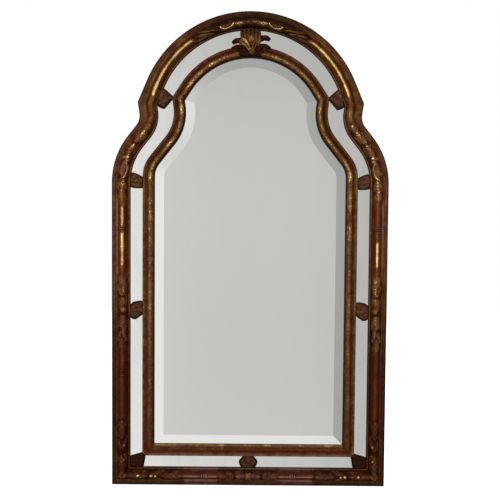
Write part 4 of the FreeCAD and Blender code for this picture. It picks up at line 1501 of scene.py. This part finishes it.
@dataclass(frozen=True)
class Blade:
    """One carved leaf of the crest: a curved spine of (x, z, depth) points with width, lobes and cup."""

    root: Place
    knee: Place
    tip: Place
    half_width: float
    lobes: int = 0
    cup: float = 2.0
    thick: float = 4.0
    base: float = 0.6
    gilt: float = 0.5
    tip_shadow: float = 0.0
    grime: float = 0.62
    rub_and_sheen: float = 0.0
    point: float = 0.5

    def spine(self, share: float) -> tuple[Vector, Vector]:
        """The spine at a share of its way.

        Args:
            share: Share of the way, 0 at the root and 1 at the tip.

        Returns:
            Its point and direction there.
        """
        first, second, third = (Vector((x, -depth, z)) for x, z, depth in (self.root, self.knee, self.tip))
        rest = 1.0 - share
        point = first * rest * rest + second * (2.0 * rest * share) + third * share * share
        way = (second - first) * rest + (third - second) * share
        return point, way.normalized()

    def build(self, mesh: bmesh.types.BMesh) -> None:
        """Adds the leaf to a mesh.

        Args:
            mesh: Mesh of the crest.
        """
        gilt, dirt, rub_and_sheen = (mesh.verts.layers.float[name] for name in LAYERS)
        made = bmesh.ops.create_grid(mesh, x_segments=36, y_segments=14, size=1.0)["verts"]
        for vert in made:
            share, side = (vert.co.x + 1.0) / 2.0, vert.co.y
            point, way = self.spine(share)
            across = way.cross(Vector((0.0, 1.0, 0.0))).normalized()
            lobe = abs(math.cos(math.pi * self.lobes * (share - 0.2 * abs(side)))) if self.lobes else 1.0
            taper = max(0.0, 1.0 - share**2.4) ** self.point
            taper *= self.base + (1.0 - self.base) * min(1.0, 2.2 * share)
            width = self.half_width * max(taper, 0.04) * (0.74 + 0.26 * lobe)
            front = self.cup * side * side - 0.35 * self.cup * math.exp(-((side / 0.16) ** 2))
            front += 0.22 * self.half_width * (0.4 * lobe - 0.2) * abs(side)
            vert.co = point + across * (side * width) - Vector((0.0, front, 0.0))
            vert[gilt] = self.gilt * (0.35 + 0.65 * abs(side)) * (0.6 + 0.4 * lobe)
            hollow = 0.8 * math.exp(-((side / 0.3) ** 2)) + 0.5 * (1.0 - lobe)
            # Darker towards the tip, a painted shadow where the plume runs under the outer moulding.
            vert[dirt] = min(1.0, hollow + self.grime * (1.0 - self.gilt) + self.tip_shadow * share * share)
            vert[rub_and_sheen] = self.rub_and_sheen
        faces = list({face for vert in made for face in vert.link_faces})
        bmesh.ops.recalc_face_normals(mesh, faces=faces)
        bmesh.ops.solidify(mesh, geom=faces, thickness=self.thick)


@dataclass
class Crest:
    """The carved crest at the top of the marginal band: fluted plume, boss, leaves and bud."""

    flutes: int = 5
    plume_foot: Place = (-2.5, 1408.0, 37.0)
    plume_half_width: float = 25.0
    plume_top: float = 1457.0
    boss_place: Place = (0.0, 1427.0, 43.0)
    boss_radii: Place = (12.0, 6.5, 12.5)
    bud_place: Place = (1.5, 1388.0, 45.0)
    bud_radii: Place = (11.5, 6.0, 10.5)
    block_half_width: float = 28.5
    block_bottom: float = 1392.0
    block_knee: Point = (12.0, 1418.0)
    block_top: float = 1460.0
    block_front: float = 37.0
    block_ease: float = 4.0

    def block(self, mesh: bmesh.types.BMesh) -> None:
        """Adds the block that the leaves stand on, narrower at its foot and with eased front edges.

        Args:
            mesh: Mesh of the crest.
        """
        back = LEVELS.glass_front + LEVELS.skin
        size = (2.0 * self.block_half_width, self.block_front - back, self.block_top - self.block_bottom)
        middle = (0.0, -(self.block_front + back) / 2.0, (self.block_top + self.block_bottom) / 2.0)
        where = Matrix.Translation(middle) @ Matrix.Diagonal((*size, 1.0))
        bmesh.ops.create_cube(mesh, size=1.0, matrix=where)
        foot, knee = self.block_knee
        for side in Side:
            outward = (side.value * (knee - self.block_bottom), 0.0, foot - self.block_half_width)
            trim(mesh, (side.value * foot, 0.0, self.block_bottom), outward)
            bmesh.ops.holes_fill(mesh, edges=open_edges(mesh), sides=0)
        plane = TOUCH - self.block_front
        front = [edge for edge in mesh.edges if all(vert.co.y < plane for vert in edge.verts)]
        bmesh.ops.bevel(
            mesh, geom=front, offset=self.block_ease, segments=3, profile=0.5, affect="EDGES", material=-1,
        )

    @staticmethod
    def ball(mesh: bmesh.types.BMesh, place: Place, radii: Place, gold: float) -> None:
        """Adds a rounded boss to the mesh, with a painted highlight on its front and painted shade towards
        its rim.

        Args:
            mesh: Mesh of the crest.
            place: Its (x, z, depth).
            radii: Its half sizes along X, Y and Z.
            gold: How gilded it is.
        """
        gilt, dirt = mesh.verts.layers.float["gilt"], mesh.verts.layers.float["dirt"]
        where = Matrix.Translation((place[0], -place[2], place[1])) @ Matrix.Diagonal((*radii, 1.0))
        made = bmesh.ops.create_uvsphere(mesh, u_segments=28, v_segments=18, radius=1.0, matrix=where)
        for vert in made["verts"]:
            # Painted highlight in front, painted shade towards the rim.
            facing = (-vert.co.y - place[2]) / radii[1]
            vert[gilt] = gold * max(0.0, 0.4 + 0.6 * facing)
            vert[dirt] = min(1.0, max(0.35, 1.05 - facing))

    @staticmethod
    def claw(root: Point, knee: Point, tip: Point, half_width: float) -> Blade:
        """A pointed dark leaf beside the plume.

        Args:
            root: Its (x, z) root.
            knee: Point that pulls its spine aside.
            tip: Its tip.
            half_width: Half of its width.

        Returns:
            The leaf.
        """
        return Blade(
            (*root, 37.0), (*knee, 42.0), (*tip, 37.0), half_width,
            lobes=2, cup=1.6, base=0.95, gilt=0.05, point=0.85,
        )

    def blades(self) -> list[Blade]:
        """All leaves of the crest.

        Returns:
            The flutes of the plume, then the leaves beside and below it.
        """
        found = []
        x0, z0, d0 = self.plume_foot
        for index in range(self.flutes):
            share = 2.0 * index / (self.flutes - 1) - 1.0
            aside = self.plume_half_width * share
            tip = (x0 + aside, self.plume_top - 3.0 * share * share, 43.0 - 3.0 * abs(share))
            knee = (x0 + 0.9 * aside, z0 + 18.0, d0 + 8.5)
            root = (x0 + 0.72 * aside, z0, d0)
            flute = Blade(
                root, knee, tip, 8.2,
                cup=3.0, thick=5.0, base=0.85, gilt=0.3, tip_shadow=0.5, grime=0.4, rub_and_sheen=0.45,
            )
            found.append(flute)
        found += [
            Blade(
                (-38.0, 1427.0, 37.0), (-21.0, 1421.0, 46.5), (-6.0, 1396.0, 47.0), 8.5,
                cup=1.6, base=0.8, gilt=0.85,
            ),
            Blade(
                (22.0, 1435.0, 38.0), (14.0, 1419.0, 46.0), (6.0, 1398.0, 47.0), 6.0,
                cup=1.6, base=0.8, gilt=0.5,
            ),
            self.claw((-27.0, 1420.0), (-45.0, 1430.0), (-59.0, 1415.0), 7.0),
            self.claw((-24.0, 1401.0), (-45.0, 1410.0), (-61.0, 1396.0), 5.0),
            self.claw((23.0, 1427.0), (44.0, 1439.0), (58.0, 1426.0), 7.5),
            self.claw((20.0, 1403.0), (42.0, 1414.0), (59.0, 1398.0), 5.4),
            Blade(
                (-8.0, 1396.0, 38.0), (-22.0, 1398.0, 46.0), (-36.0, 1385.0, 44.0), 7.0,
                lobes=3, cup=1.6, base=0.9, gilt=0.0,
            ),
            Blade(
                (8.0, 1396.0, 38.0), (22.0, 1398.0, 46.0), (38.0, 1385.0, 44.0), 7.0,
                lobes=3, cup=1.6, base=0.9, gilt=0.0,
            ),
        ]
        return found

    def build(self, finish: bpy.types.Material) -> bpy.types.Object:
        """Builds the crest as one piece.

        Args:
            finish: Its material.

        Returns:
            The finished piece.
        """
        mesh = bmesh.new()
        for name in LAYERS:
            mesh.verts.layers.float.new(name)
        dirt = mesh.verts.layers.float["dirt"]
        self.block(mesh)
        for vert in mesh.verts:
            vert[dirt] = 0.9
        for blade in self.blades():
            blade.build(mesh)
        self.ball(mesh, self.boss_place, self.boss_radii, 0.3)
        self.ball(mesh, self.bud_place, self.bud_radii, 0.3)
        piece = finish_mesh(mesh, "crest_carved", sharp=50.0)
        piece.data.materials.append(finish)
        return place_piece(piece, "carved_giltwood", "crest")


class Shader:
    """A node tree and short ways to add to it."""

    def __init__(self, tree: bpy.types.NodeTree) -> None:
        """Keeps the tree."""
        self.tree = tree

    def add(
        self, kind: str, inputs: dict[str | int, object] | None = None, **settings: object,
    ) -> bpy.types.Node:
        """Adds a node.

        Args:
            kind: Type of the node.
            inputs: Values or sockets for its inputs, by name or number.
            settings: Properties of the node.

        Returns:
            The node.
        """
        node = self.tree.nodes.new(kind)
        for key, value in settings.items():
            setattr(node, key, value)
        for key, value in (inputs or {}).items():
            if isinstance(value, Socket):
                self.tree.links.new(value, node.inputs[key])
            else:
                node.inputs[key].default_value = value
        return node

    def noise(self, vector: Socket, scale: float, detail: float = 4.0, rough: float = 0.55) -> Socket:
        """Noise from 0 to 1 at a scale in waves per metre."""
        inputs = {"Vector": vector, "Scale": scale, "Detail": detail, "Roughness": rough}
        return self.add("ShaderNodeTexNoise", inputs).outputs[0]

    def math(self, operation: str, first: object, second: object = 0.0, third: object = 0.0) -> Socket:
        """Result of a sum on up to three values or sockets."""
        return self.add("ShaderNodeMath", {0: first, 1: second, 2: third}, operation=operation).outputs[0]

    def remap(
        self, value: Socket, low: float, high: float, start: float = 0.0, end: float = 1.0,
    ) -> Socket:
        """Smooth step of a value from one range to another."""
        inputs = {"Value": value, "From Min": low, "From Max": high, "To Min": start, "To Max": end}
        return self.add("ShaderNodeMapRange", inputs, interpolation_type="SMOOTHSTEP").outputs[0]

    def mix(self, factor: object, first: object, second: object) -> Socket:
        """Mix of two colours."""
        first = (*first, 1.0) if isinstance(first, tuple) else first
        second = (*second, 1.0) if isinstance(second, tuple) else second
        return self.add("ShaderNodeMix", {0: factor, 6: first, 7: second}, data_type="RGBA").outputs[2]

    def object_space(self) -> Socket:
        """Object coordinates, in metres."""
        return self.add("ShaderNodeTexCoord").outputs["Object"]


def new_group(
    name: str, inputs: dict[str, tuple[str, object]], outputs: dict[str, str],
) -> tuple[Shader, bpy.types.Node, bpy.types.Node]:
    """Starts a shader node group.

    Args:
        name: Name of the group.
        inputs: Kind and default value of each input.
        outputs: Kind of each output.

    Returns:
        The group's tree, its input node and its output node.
    """
    tree = bpy.data.node_groups.new(name, "ShaderNodeTree")
    for label, (kind, value) in inputs.items():
        socket = tree.interface.new_socket(name=label, in_out="INPUT", socket_type=kind)
        socket.default_value = value
    for label, kind in outputs.items():
        tree.interface.new_socket(name=label, in_out="OUTPUT", socket_type=kind)
    shader = Shader(tree)
    return shader, shader.add("NodeGroupInput"), shader.add("NodeGroupOutput")


def gilding_group() -> bpy.types.NodeTree:
    """Worn gold leaf over red bole, with dirt in the hollows, and the painted highlights, sheen and shade
    that the layers carry.

    Returns:
        The node group.
    """
    shader, given, result = new_group(
        "worn_gilding",
        {"Gilt": (FLOAT, 0.5), "Dirt": (FLOAT, 0.2), "Rub_and_sheen": (FLOAT, 0.0)},
        {"Color": COLOUR, "Metallic": FLOAT, "Roughness": FLOAT, "Height": FLOAT},
    )
    place = shader.object_space()
    broad = shader.noise(place, 34.0, 5.0, 0.6)
    fine = shader.noise(place, 260.0, 5.0, 0.6)
    tone = shader.noise(place, 12.0, 3.0)
    flecks = shader.noise(place, 110.0, 4.0, 0.6)
    # Gold shows where the gilt layer, painted highlights included, is high.
    worn = shader.math("MULTIPLY_ADD", broad, 0.9, given.outputs["Gilt"])
    worn = shader.math("MULTIPLY_ADD", flecks, 0.5, worn)
    worn = shader.math("MULTIPLY_ADD", fine, 0.5, worn)
    dull_mask = shader.remap(worn, 1.0, 1.5)
    gold_mask = shader.remap(worn, 1.44, 1.9)
    soot_and_shade_mask = shader.math("MULTIPLY_ADD", fine, 0.3, given.outputs["Dirt"])
    soot_and_shade_mask = shader.math("MULTIPLY_ADD", flecks, 0.4, soot_and_shade_mask)
    soot_and_shade_mask = shader.remap(soot_and_shade_mask, 0.5, 1.25)
    bole = shader.mix(shader.remap(tone, 0.35, 0.65), (0.165, 0.026, 0.007), (0.115, 0.030, 0.008))
    bole = shader.mix(shader.remap(fine, 0.45, 0.75), bole, (0.07, 0.021, 0.007))
    # Pale where rubbed, which also gives painted highlight lines.
    rub_and_sheen_mask = shader.math("MULTIPLY_ADD", shader.noise(place, 70.0, 4.0, 0.6), 0.8, given.outputs["Rub_and_sheen"])
    bole = shader.mix(shader.remap(rub_and_sheen_mask, 0.5, 1.15), bole, (0.40, 0.185, 0.145))
    dull = shader.mix(shader.remap(broad, 0.3, 0.7), (0.18, 0.075, 0.018), (0.30, 0.145, 0.042))
    gold = shader.mix(shader.remap(broad, 0.3, 0.7), (0.74, 0.46, 0.15), (0.97, 0.66, 0.26))
    colour = shader.mix(gold_mask, shader.mix(dull_mask, bole, dull), gold)
    # Near-black where dirt and painted shade lie.
    colour = shader.mix(shader.math("MULTIPLY", soot_and_shade_mask, 0.92), colour, (0.018, 0.0045, 0.0018))
    links = shader.tree.links
    links.new(colour, result.inputs["Color"])
    metal = shader.math("MULTIPLY_ADD", dull_mask, 0.4, shader.math("MULTIPLY", gold_mask, 0.6))
    clean = shader.math("MULTIPLY_ADD", soot_and_shade_mask, -0.8, 1.0)
    links.new(shader.math("MULTIPLY", metal, clean), result.inputs["Metallic"])
    rough = shader.math("MULTIPLY_ADD", gold_mask, -0.14, 0.36)
    links.new(shader.math("MULTIPLY_ADD", fine, 0.14, rough), result.inputs["Roughness"])
    cracks = shader.add("ShaderNodeTexVoronoi", {"Vector": place, "Scale": 120.0}, feature="DISTANCE_TO_EDGE")
    crack = shader.remap(cracks.outputs["Distance"], 0.0, 0.05)
    height = shader.math("MULTIPLY_ADD", fine, 0.5, shader.math("MULTIPLY", crack, 0.25))
    links.new(height, result.inputs["Height"])
    return shader.tree


def foxing_group() -> bpy.types.NodeTree:
    """Tarnish of old silvering: faint streaks and small dark specks, over a silver that runs from the Left to
    the Right colour across the mirror as a painted reflection.

    Returns:
        The node group.
    """
    grey = (0.8, 0.8, 0.8, 1.0)
    shader, given, result = new_group(
        "foxed_silver",
        {"Left": (COLOUR, grey), "Right": (COLOUR, grey), "Streak": (FLOAT, 0.05)},
        {"Color": COLOUR, "Roughness": FLOAT},
    )
    place = shader.object_space()
    across = shader.add("ShaderNodeSeparateXYZ", {0: place}).outputs["X"]
    # Painted reflection: the silver changes from the Left colour to the Right colour across the mirror.
    silver_and_reflection = shader.mix(shader.remap(across, -0.36, 0.36), given.outputs["Left"], given.outputs["Right"])
    stretched = shader.add("ShaderNodeMapping", {"Vector": place, "Scale": (1.0, 1.0, 0.25)}).outputs[0]
    streak = shader.remap(shader.noise(stretched, 26.0, 4.0), 0.35, 0.75)
    silver_and_reflection = shader.mix(shader.math("MULTIPLY", streak, given.outputs["Streak"]), silver_and_reflection, (0.35, 0.36, 0.34))
    specks = shader.add("ShaderNodeTexVoronoi", {"Vector": place, "Scale": 70.0}).outputs["Distance"]
    patch = shader.remap(shader.noise(place, 9.0, 3.0), 0.58, 0.72)
    speck = shader.math("MULTIPLY", shader.remap(specks, 0.1, 0.05), patch)
    shader.tree.links.new(
        shader.mix(shader.math("MULTIPLY", speck, 0.35), silver_and_reflection, (0.2, 0.19, 0.17)), result.inputs["Color"]
    )
    shader.tree.links.new(shader.math("MULTIPLY_ADD", streak, 0.02, 0.015), result.inputs["Roughness"])
    return shader.tree


def board_group() -> bpy.types.NodeTree:
    """Old softwood with grain, stains and dust.

    Returns:
        The node group.
    """
    shader, given, result = new_group(
        "old_board",
        {
            "Stretch": (VECTOR, (1.0, 1.0, 0.05)), "Pale": (COLOUR, (0.3, 0.18, 0.09, 1.0)),
            "Dark": (COLOUR, (0.12, 0.06, 0.03, 1.0)),
        },
        {"Color": COLOUR, "Roughness": FLOAT, "Height": FLOAT},
    )
    place = shader.object_space()
    stretch = {"Vector": place, "Scale": given.outputs["Stretch"]}
    stretched = shader.add("ShaderNodeMapping", stretch).outputs[0]
    warp = shader.noise(stretched, 30.0, 2.0)
    rings = shader.noise(stretched, 140.0, 6.0, 0.65)
    grain = shader.math("MULTIPLY_ADD", warp, 0.5, shader.math("MULTIPLY", rings, 0.6))
    colour = shader.mix(shader.remap(grain, 0.35, 0.75), given.outputs["Dark"], given.outputs["Pale"])
    stain = shader.remap(shader.noise(place, 5.0, 3.0), 0.45, 0.75)
    colour = shader.mix(shader.math("MULTIPLY", stain, 0.5), colour, (0.055, 0.034, 0.02))
    dust = shader.remap(shader.noise(place, 420.0, 3.0), 0.55, 0.8)
    colour = shader.mix(shader.math("MULTIPLY", dust, 0.12), colour, (0.42, 0.38, 0.32))
    shader.tree.links.new(colour, result.inputs["Color"])
    shader.tree.links.new(shader.math("MULTIPLY_ADD", grain, -0.15, 0.85), result.inputs["Roughness"])
    shader.tree.links.new(grain, result.inputs["Height"])
    return shader.tree


def metal_group() -> bpy.types.NodeTree:
    """Aged metal: tarnish patches and fine scratches.

    Returns:
        The node group.
    """
    shader, given, result = new_group(
        "aged_metal",
        {"Bright": (COLOUR, (0.5, 0.5, 0.5, 1.0)), "Tarnish": (COLOUR, (0.1, 0.08, 0.06, 1.0))},
        {"Color": COLOUR, "Roughness": FLOAT, "Height": FLOAT},
    )
    place = shader.object_space()
    patch = shader.remap(shader.noise(place, 160.0, 5.0, 0.65), 0.4, 0.68)
    stretched = shader.add("ShaderNodeMapping", {"Vector": place, "Scale": (1.0, 1.0, 0.08)}).outputs[0]
    scratch = shader.noise(stretched, 1500.0, 2.0)
    shader.tree.links.new(
        shader.mix(patch, given.outputs["Bright"], given.outputs["Tarnish"]), result.inputs["Color"]
    )
    shader.tree.links.new(shader.math("MULTIPLY_ADD", patch, 0.3, 0.3), result.inputs["Roughness"])
    shader.tree.links.new(scratch, result.inputs["Height"])
    return shader.tree


@dataclass(frozen=True)
class Finish:
    """A material: a shared effect with its own values, and the plain values of its surface."""

    name: str
    group: str
    values: dict[str, object] = field(default_factory=dict)
    attributes: tuple[str, ...] = ()
    metallic: float = 0.0
    bump: float = 0.0
    bump_distance: float = 0.0006
    specular: float = 0.5

    def material(self, groups: dict[str, bpy.types.NodeTree]) -> bpy.types.Material:
        """Makes the material.

        Args:
            groups: The shared effects by name.

        Returns:
            The material.
        """
        made = bpy.data.materials.new(self.name)
        made.use_nodes = True
        shader = Shader(made.node_tree)
        surface = next(node for node in made.node_tree.nodes if node.type == "BSDF_PRINCIPLED")
        surface.inputs["Metallic"].default_value = self.metallic
        surface.inputs["Specular IOR Level"].default_value = self.specular
        effect = shader.add("ShaderNodeGroup", node_tree=groups[self.group])
        for label, value in self.values.items():
            effect.inputs[label].default_value = value
        for label in self.attributes:
            layer = label.lower()
            source = shader.add("ShaderNodeAttribute", attribute_name=layer, attribute_type="GEOMETRY")
            shader.tree.links.new(source.outputs["Fac"], effect.inputs[label])
        links = {"Color": "Base Color", "Metallic": "Metallic", "Roughness": "Roughness"}
        for output in effect.outputs:
            if output.name in links:
                shader.tree.links.new(output, surface.inputs[links[output.name]])
        if self.bump:
            height = effect.outputs["Height"]
            bump = shader.add(
                "ShaderNodeBump", {"Strength": self.bump, "Distance": self.bump_distance, "Height": height}
            )
            shader.tree.links.new(bump.outputs["Normal"], surface.inputs["Normal"])
        return made


UPRIGHT = (1.0, 1.0, 0.045)
LEVEL = (0.045, 1.0, 1.0)
FINISHES = (
    Finish("gilding", "worn_gilding", attributes=("Gilt", "Dirt", "Rub_and_sheen"), bump=0.35, specular=0.08),
    Finish(
        "main_silvering", "foxed_silver",
        {"Left": (0.70, 0.70, 0.675, 1.0), "Right": (0.69, 0.695, 0.665, 1.0), "Streak": 0.015}, metallic=1.0,
    ),
    Finish(
        "marginal_silvering", "foxed_silver",
        # Much lighter on the left than on the right, a painted reflection.
        {"Left": (0.83, 0.83, 0.80, 1.0), "Right": (0.64, 0.645, 0.62, 1.0), "Streak": 0.12}, metallic=1.0,
    ),
    Finish("upright_board", "old_board", {"Stretch": UPRIGHT}, bump=0.4, bump_distance=0.001),
    Finish("level_board", "old_board", {"Stretch": LEVEL}, bump=0.4, bump_distance=0.001),
    Finish(
        "thin_board", "old_board",
        {"Stretch": UPRIGHT, "Pale": (0.36, 0.24, 0.13, 1.0), "Dark": (0.17, 0.095, 0.045, 1.0)},
        bump=0.35, bump_distance=0.0008,
    ),
    Finish(
        "fastener_metal", "aged_metal",
        {"Bright": (0.42, 0.41, 0.40, 1.0), "Tarnish": (0.16, 0.09, 0.05, 1.0)}, metallic=1.0, bump=0.1,
    ),
    Finish(
        "strap_metal", "aged_metal",
        {"Bright": (0.30, 0.29, 0.28, 1.0), "Tarnish": (0.10, 0.06, 0.04, 1.0)}, metallic=1.0, bump=0.15,
    ),
    Finish(
        "ring_metal", "aged_metal",
        {"Bright": (0.72, 0.52, 0.22, 1.0), "Tarnish": (0.26, 0.15, 0.06, 1.0)}, metallic=1.0, bump=0.1,
    ),
)

MARGINAL_PLATES = ("bottom", "lower", "middle", "shoulder", "arch")
NODE_FINISHES = {
    "main_silvering": ("main_plate",),
    "marginal_silvering": tuple(f"{side.label}_{part}_plate" for side in Side for part in MARGINAL_PLATES),
    "upright_board": (
        "left_ground_stile", "right_ground_stile", "left_ground_shoulder", "right_ground_shoulder",
        "glazing_blocks", "joint_dowels", "mitre_keys",
    ),
    "level_board": ("ground_bottom_rail", "ground_crown"),
    "thin_board": ("lower_backboard", "middle_backboard", "upper_backboard"),
    "fastener_metal": ("outer_screws", "inner_screws", "back_screws", "hanger_screws", "clasp_pins"),
    "strap_metal": ("left_hanger_strap", "right_hanger_strap"),
    "ring_metal": ("left_hanger_ring", "right_hanger_ring"),
}


def dress_nodes(nodes: dict[str, bpy.types.Object], materials: dict[str, bpy.types.Material]) -> None:
    """Gives every node that stays its finish.

    Args:
        nodes: The frame's nodes by name.
        materials: The materials by name.
    """
    for finish, names in NODE_FINISHES.items():
        for name in names:
            node = nodes[name]
            if not node.material_slots:
                node.data.materials.append(materials[finish])
            for slot in node.material_slots:
                slot.material = materials[finish]
            LOG.info("%s: %s", name, finish)


@dataclass
class Studio:
    """Camera, light and floor. Lengths in metres."""

    distance: float = 3.2
    aside: float = 0.0008
    height: float = 0.962
    pitch: float = math.radians(3.58)
    roll: float = math.radians(0.45)
    focal_pixels: float = 996.4
    image: float = 500.0
    sensor: float = 36.0
    floor_size: float = 9.0
    aside_light: Table = (
        (0.0, 1.0), (0.26, 1.0), (0.36, 0.86), (0.43, 0.73),
        (0.57, 0.70), (0.66, 0.6), (0.76, 0.44), (1.0, 0.4),
    )
    upward_light: Table = (
        (0.0, 1.0), (0.12, 1.0), (0.2, 0.75), (0.3, 0.71),
        (0.55, 0.70), (0.64, 0.6), (0.72, 0.5), (1.0, 0.45),
    )
    wall_light: float = 1.58

    def camera(self) -> None:
        """Sets the camera at the photograph's place."""
        data = bpy.data.cameras.new("camera")
        data.sensor_width = self.sensor
        data.lens = self.focal_pixels * self.sensor / self.image
        camera = bpy.data.objects.new("camera", data)
        bpy.context.scene.collection.objects.link(camera)
        forward = Vector((0.0, math.cos(self.pitch), -math.sin(self.pitch)))
        right = Vector((1.0, 0.0, 0.0))
        up = right.cross(forward)
        right, up = (
            right * math.cos(self.roll) + up * math.sin(self.roll),
            up * math.cos(self.roll) - right * math.sin(self.roll),
        )
        turn = Matrix((right, up, -forward)).transposed().to_4x4()
        camera.matrix_world = Matrix.Translation((self.aside, -self.distance, self.height)) @ turn
        bpy.context.scene.camera = camera

    def lamp(self, name: str, place: Vector, target: Vector, size: Point, power: float) -> None:
        """Adds a soft rectangular lamp.

        Args:
            name: Its name.
            place: Its place.
            target: The point that it faces.
            size: Width and height.
            power: Power in watts.
        """
        data = bpy.data.lights.new(name, "AREA")
        data.shape = "RECTANGLE"
        data.size, data.size_y = size
        data.energy = power
        lamp = bpy.data.objects.new(name, data)
        turn = (target - place).to_track_quat("-Z", "Y").to_matrix().to_4x4()
        lamp.matrix_world = Matrix.Translation(place) @ turn
        bpy.context.scene.collection.objects.link(lamp)

    def lamps(self) -> None:
        """Sets the key, fill, top and back lamps."""
        middle = Vector((0.0, 0.0, 0.85))
        self.lamp("key_lamp", Vector((-2.0, -2.8, 1.35)), middle, (1.2, 2.0), 30.0)
        self.lamp("fill_lamp", Vector((2.0, -2.8, 1.2)), middle, (1.2, 2.0), 20.0)
        self.lamp("top_lamp", Vector((0.0, -2.2, 3.0)), Vector((0.0, 0.0, 1.3)), (1.6, 0.8), 22.0)
        self.lamp("back_lamp", Vector((0.8, 3.0, 2.2)), middle, (1.6, 1.6), 60.0)

    def surroundings(self) -> None:
        """White behind the object, and a soft grey room for the plates to reflect."""
        world = bpy.data.worlds.new("room")
        bpy.context.scene.world = world
        world.use_nodes = True
        shader = Shader(world.node_tree)
        shader.tree.nodes.clear()
        way = shader.add("ShaderNodeTexCoord").outputs["Generated"]
        split = shader.add("ShaderNodeSeparateXYZ", {0: way})
        x, y, z = (split.outputs[axis] for axis in "XYZ")
        aside = shader.add("ShaderNodeFloatCurve", {"Value": shader.math("MULTIPLY_ADD", x, 1.0, 0.5)})
        upward = shader.add("ShaderNodeFloatCurve", {"Value": shader.math("MULTIPLY_ADD", z, 1.0, 0.5)})
        self.curve(aside, self.aside_light)
        self.curve(upward, self.upward_light)
        wall = shader.math("MULTIPLY", aside.outputs[0], upward.outputs[0])
        wall = shader.math("MULTIPLY", wall, self.wall_light)
        off_axis = shader.math("SQRT", shader.math("MULTIPLY_ADD", x, x, shader.math("MULTIPLY", z, z)))
        cone = shader.remap(off_axis, 0.36, 0.6, 1.0, 0.1)
        ahead = shader.math("LESS_THAN", y, 0.0)
        room = shader.math("MULTIPLY", wall, cone)
        behind = shader.remap(y, 0.0, 0.6, 0.08, 0.3)
        level = shader.add("ShaderNodeMix", {0: ahead, 2: behind, 3: room}, data_type="FLOAT").outputs[0]
        seen = shader.add("ShaderNodeLightPath").outputs["Is Camera Ray"]
        level = shader.add("ShaderNodeMix", {0: seen, 2: level, 3: 1.0}, data_type="FLOAT").outputs[0]
        sky = shader.add("ShaderNodeBackground", {"Color": (1.0, 1.0, 1.0, 1.0), "Strength": level})
        out = shader.add("ShaderNodeOutputWorld")
        shader.tree.links.new(sky.outputs[0], out.inputs[0])

    @staticmethod
    def curve(node: bpy.types.Node, points: Table) -> None:
        """Gives a curve node its points.

        Args:
            node: The node.
            points: Its points from left to right.
        """
        line = node.mapping.curves[0]
        while len(line.points) < len(points):
            line.points.new(0.5, 0.5)
        for point, place in zip(line.points, points):
            point.location = place
        node.mapping.update()

    def floor(self) -> None:
        """Sets a plain pale floor that only the camera sees."""
        mesh = bmesh.new()
        bmesh.ops.create_grid(mesh, x_segments=1, y_segments=1, size=self.floor_size / 2.0)
        data = bpy.data.meshes.new("floor")
        mesh.to_mesh(data)
        mesh.free()
        data.transform(Matrix.Translation((0.0, 0.0, -0.001)))
        floor = bpy.data.objects.new("floor", data)
        bpy.context.scene.collection.objects.link(floor)
        pale = bpy.data.materials.new("pale_floor")
        pale.use_nodes = True
        surface = next(node for node in pale.node_tree.nodes if node.type == "BSDF_PRINCIPLED")
        surface.inputs["Base Color"].default_value = (0.8, 0.8, 0.8, 1.0)
        surface.inputs["Roughness"].default_value = 0.9
        surface.inputs["Emission Color"].default_value = (1.0, 1.0, 1.0, 1.0)
        surface.inputs["Emission Strength"].default_value = 1.0
        floor.data.materials.append(pale)
        floor.visible_diffuse = False
        floor.visible_glossy = False

    def build(self) -> None:
        """Sets up the whole studio."""
        self.camera()
        self.lamps()
        self.surroundings()
        self.floor()
        bpy.context.scene.view_settings.view_transform = "Standard"
        LOG.info("studio: camera, lamps, room and floor")


def main() -> None:
    """Builds and dresses the mirror, piece by piece."""
    logging.basicConfig(level=logging.INFO, format="%(name)s %(message)s")
    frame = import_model()
    Studio().build()
    groups = {tree.name: tree for tree in (gilding_group(), foxing_group(), board_group(), metal_group())}
    materials = {finish.name: finish.material(groups) for finish in FINISHES}
    dress_nodes(frame["nodes"], materials)
    OUTER.build(materials["gilding"], materials["upright_board"])
    INNER.build(materials["gilding"], materials["upright_board"])
    ClaspSet().build(materials["gilding"])
    Crest().build(materials["gilding"])


if __name__ == "__main__":
    main()
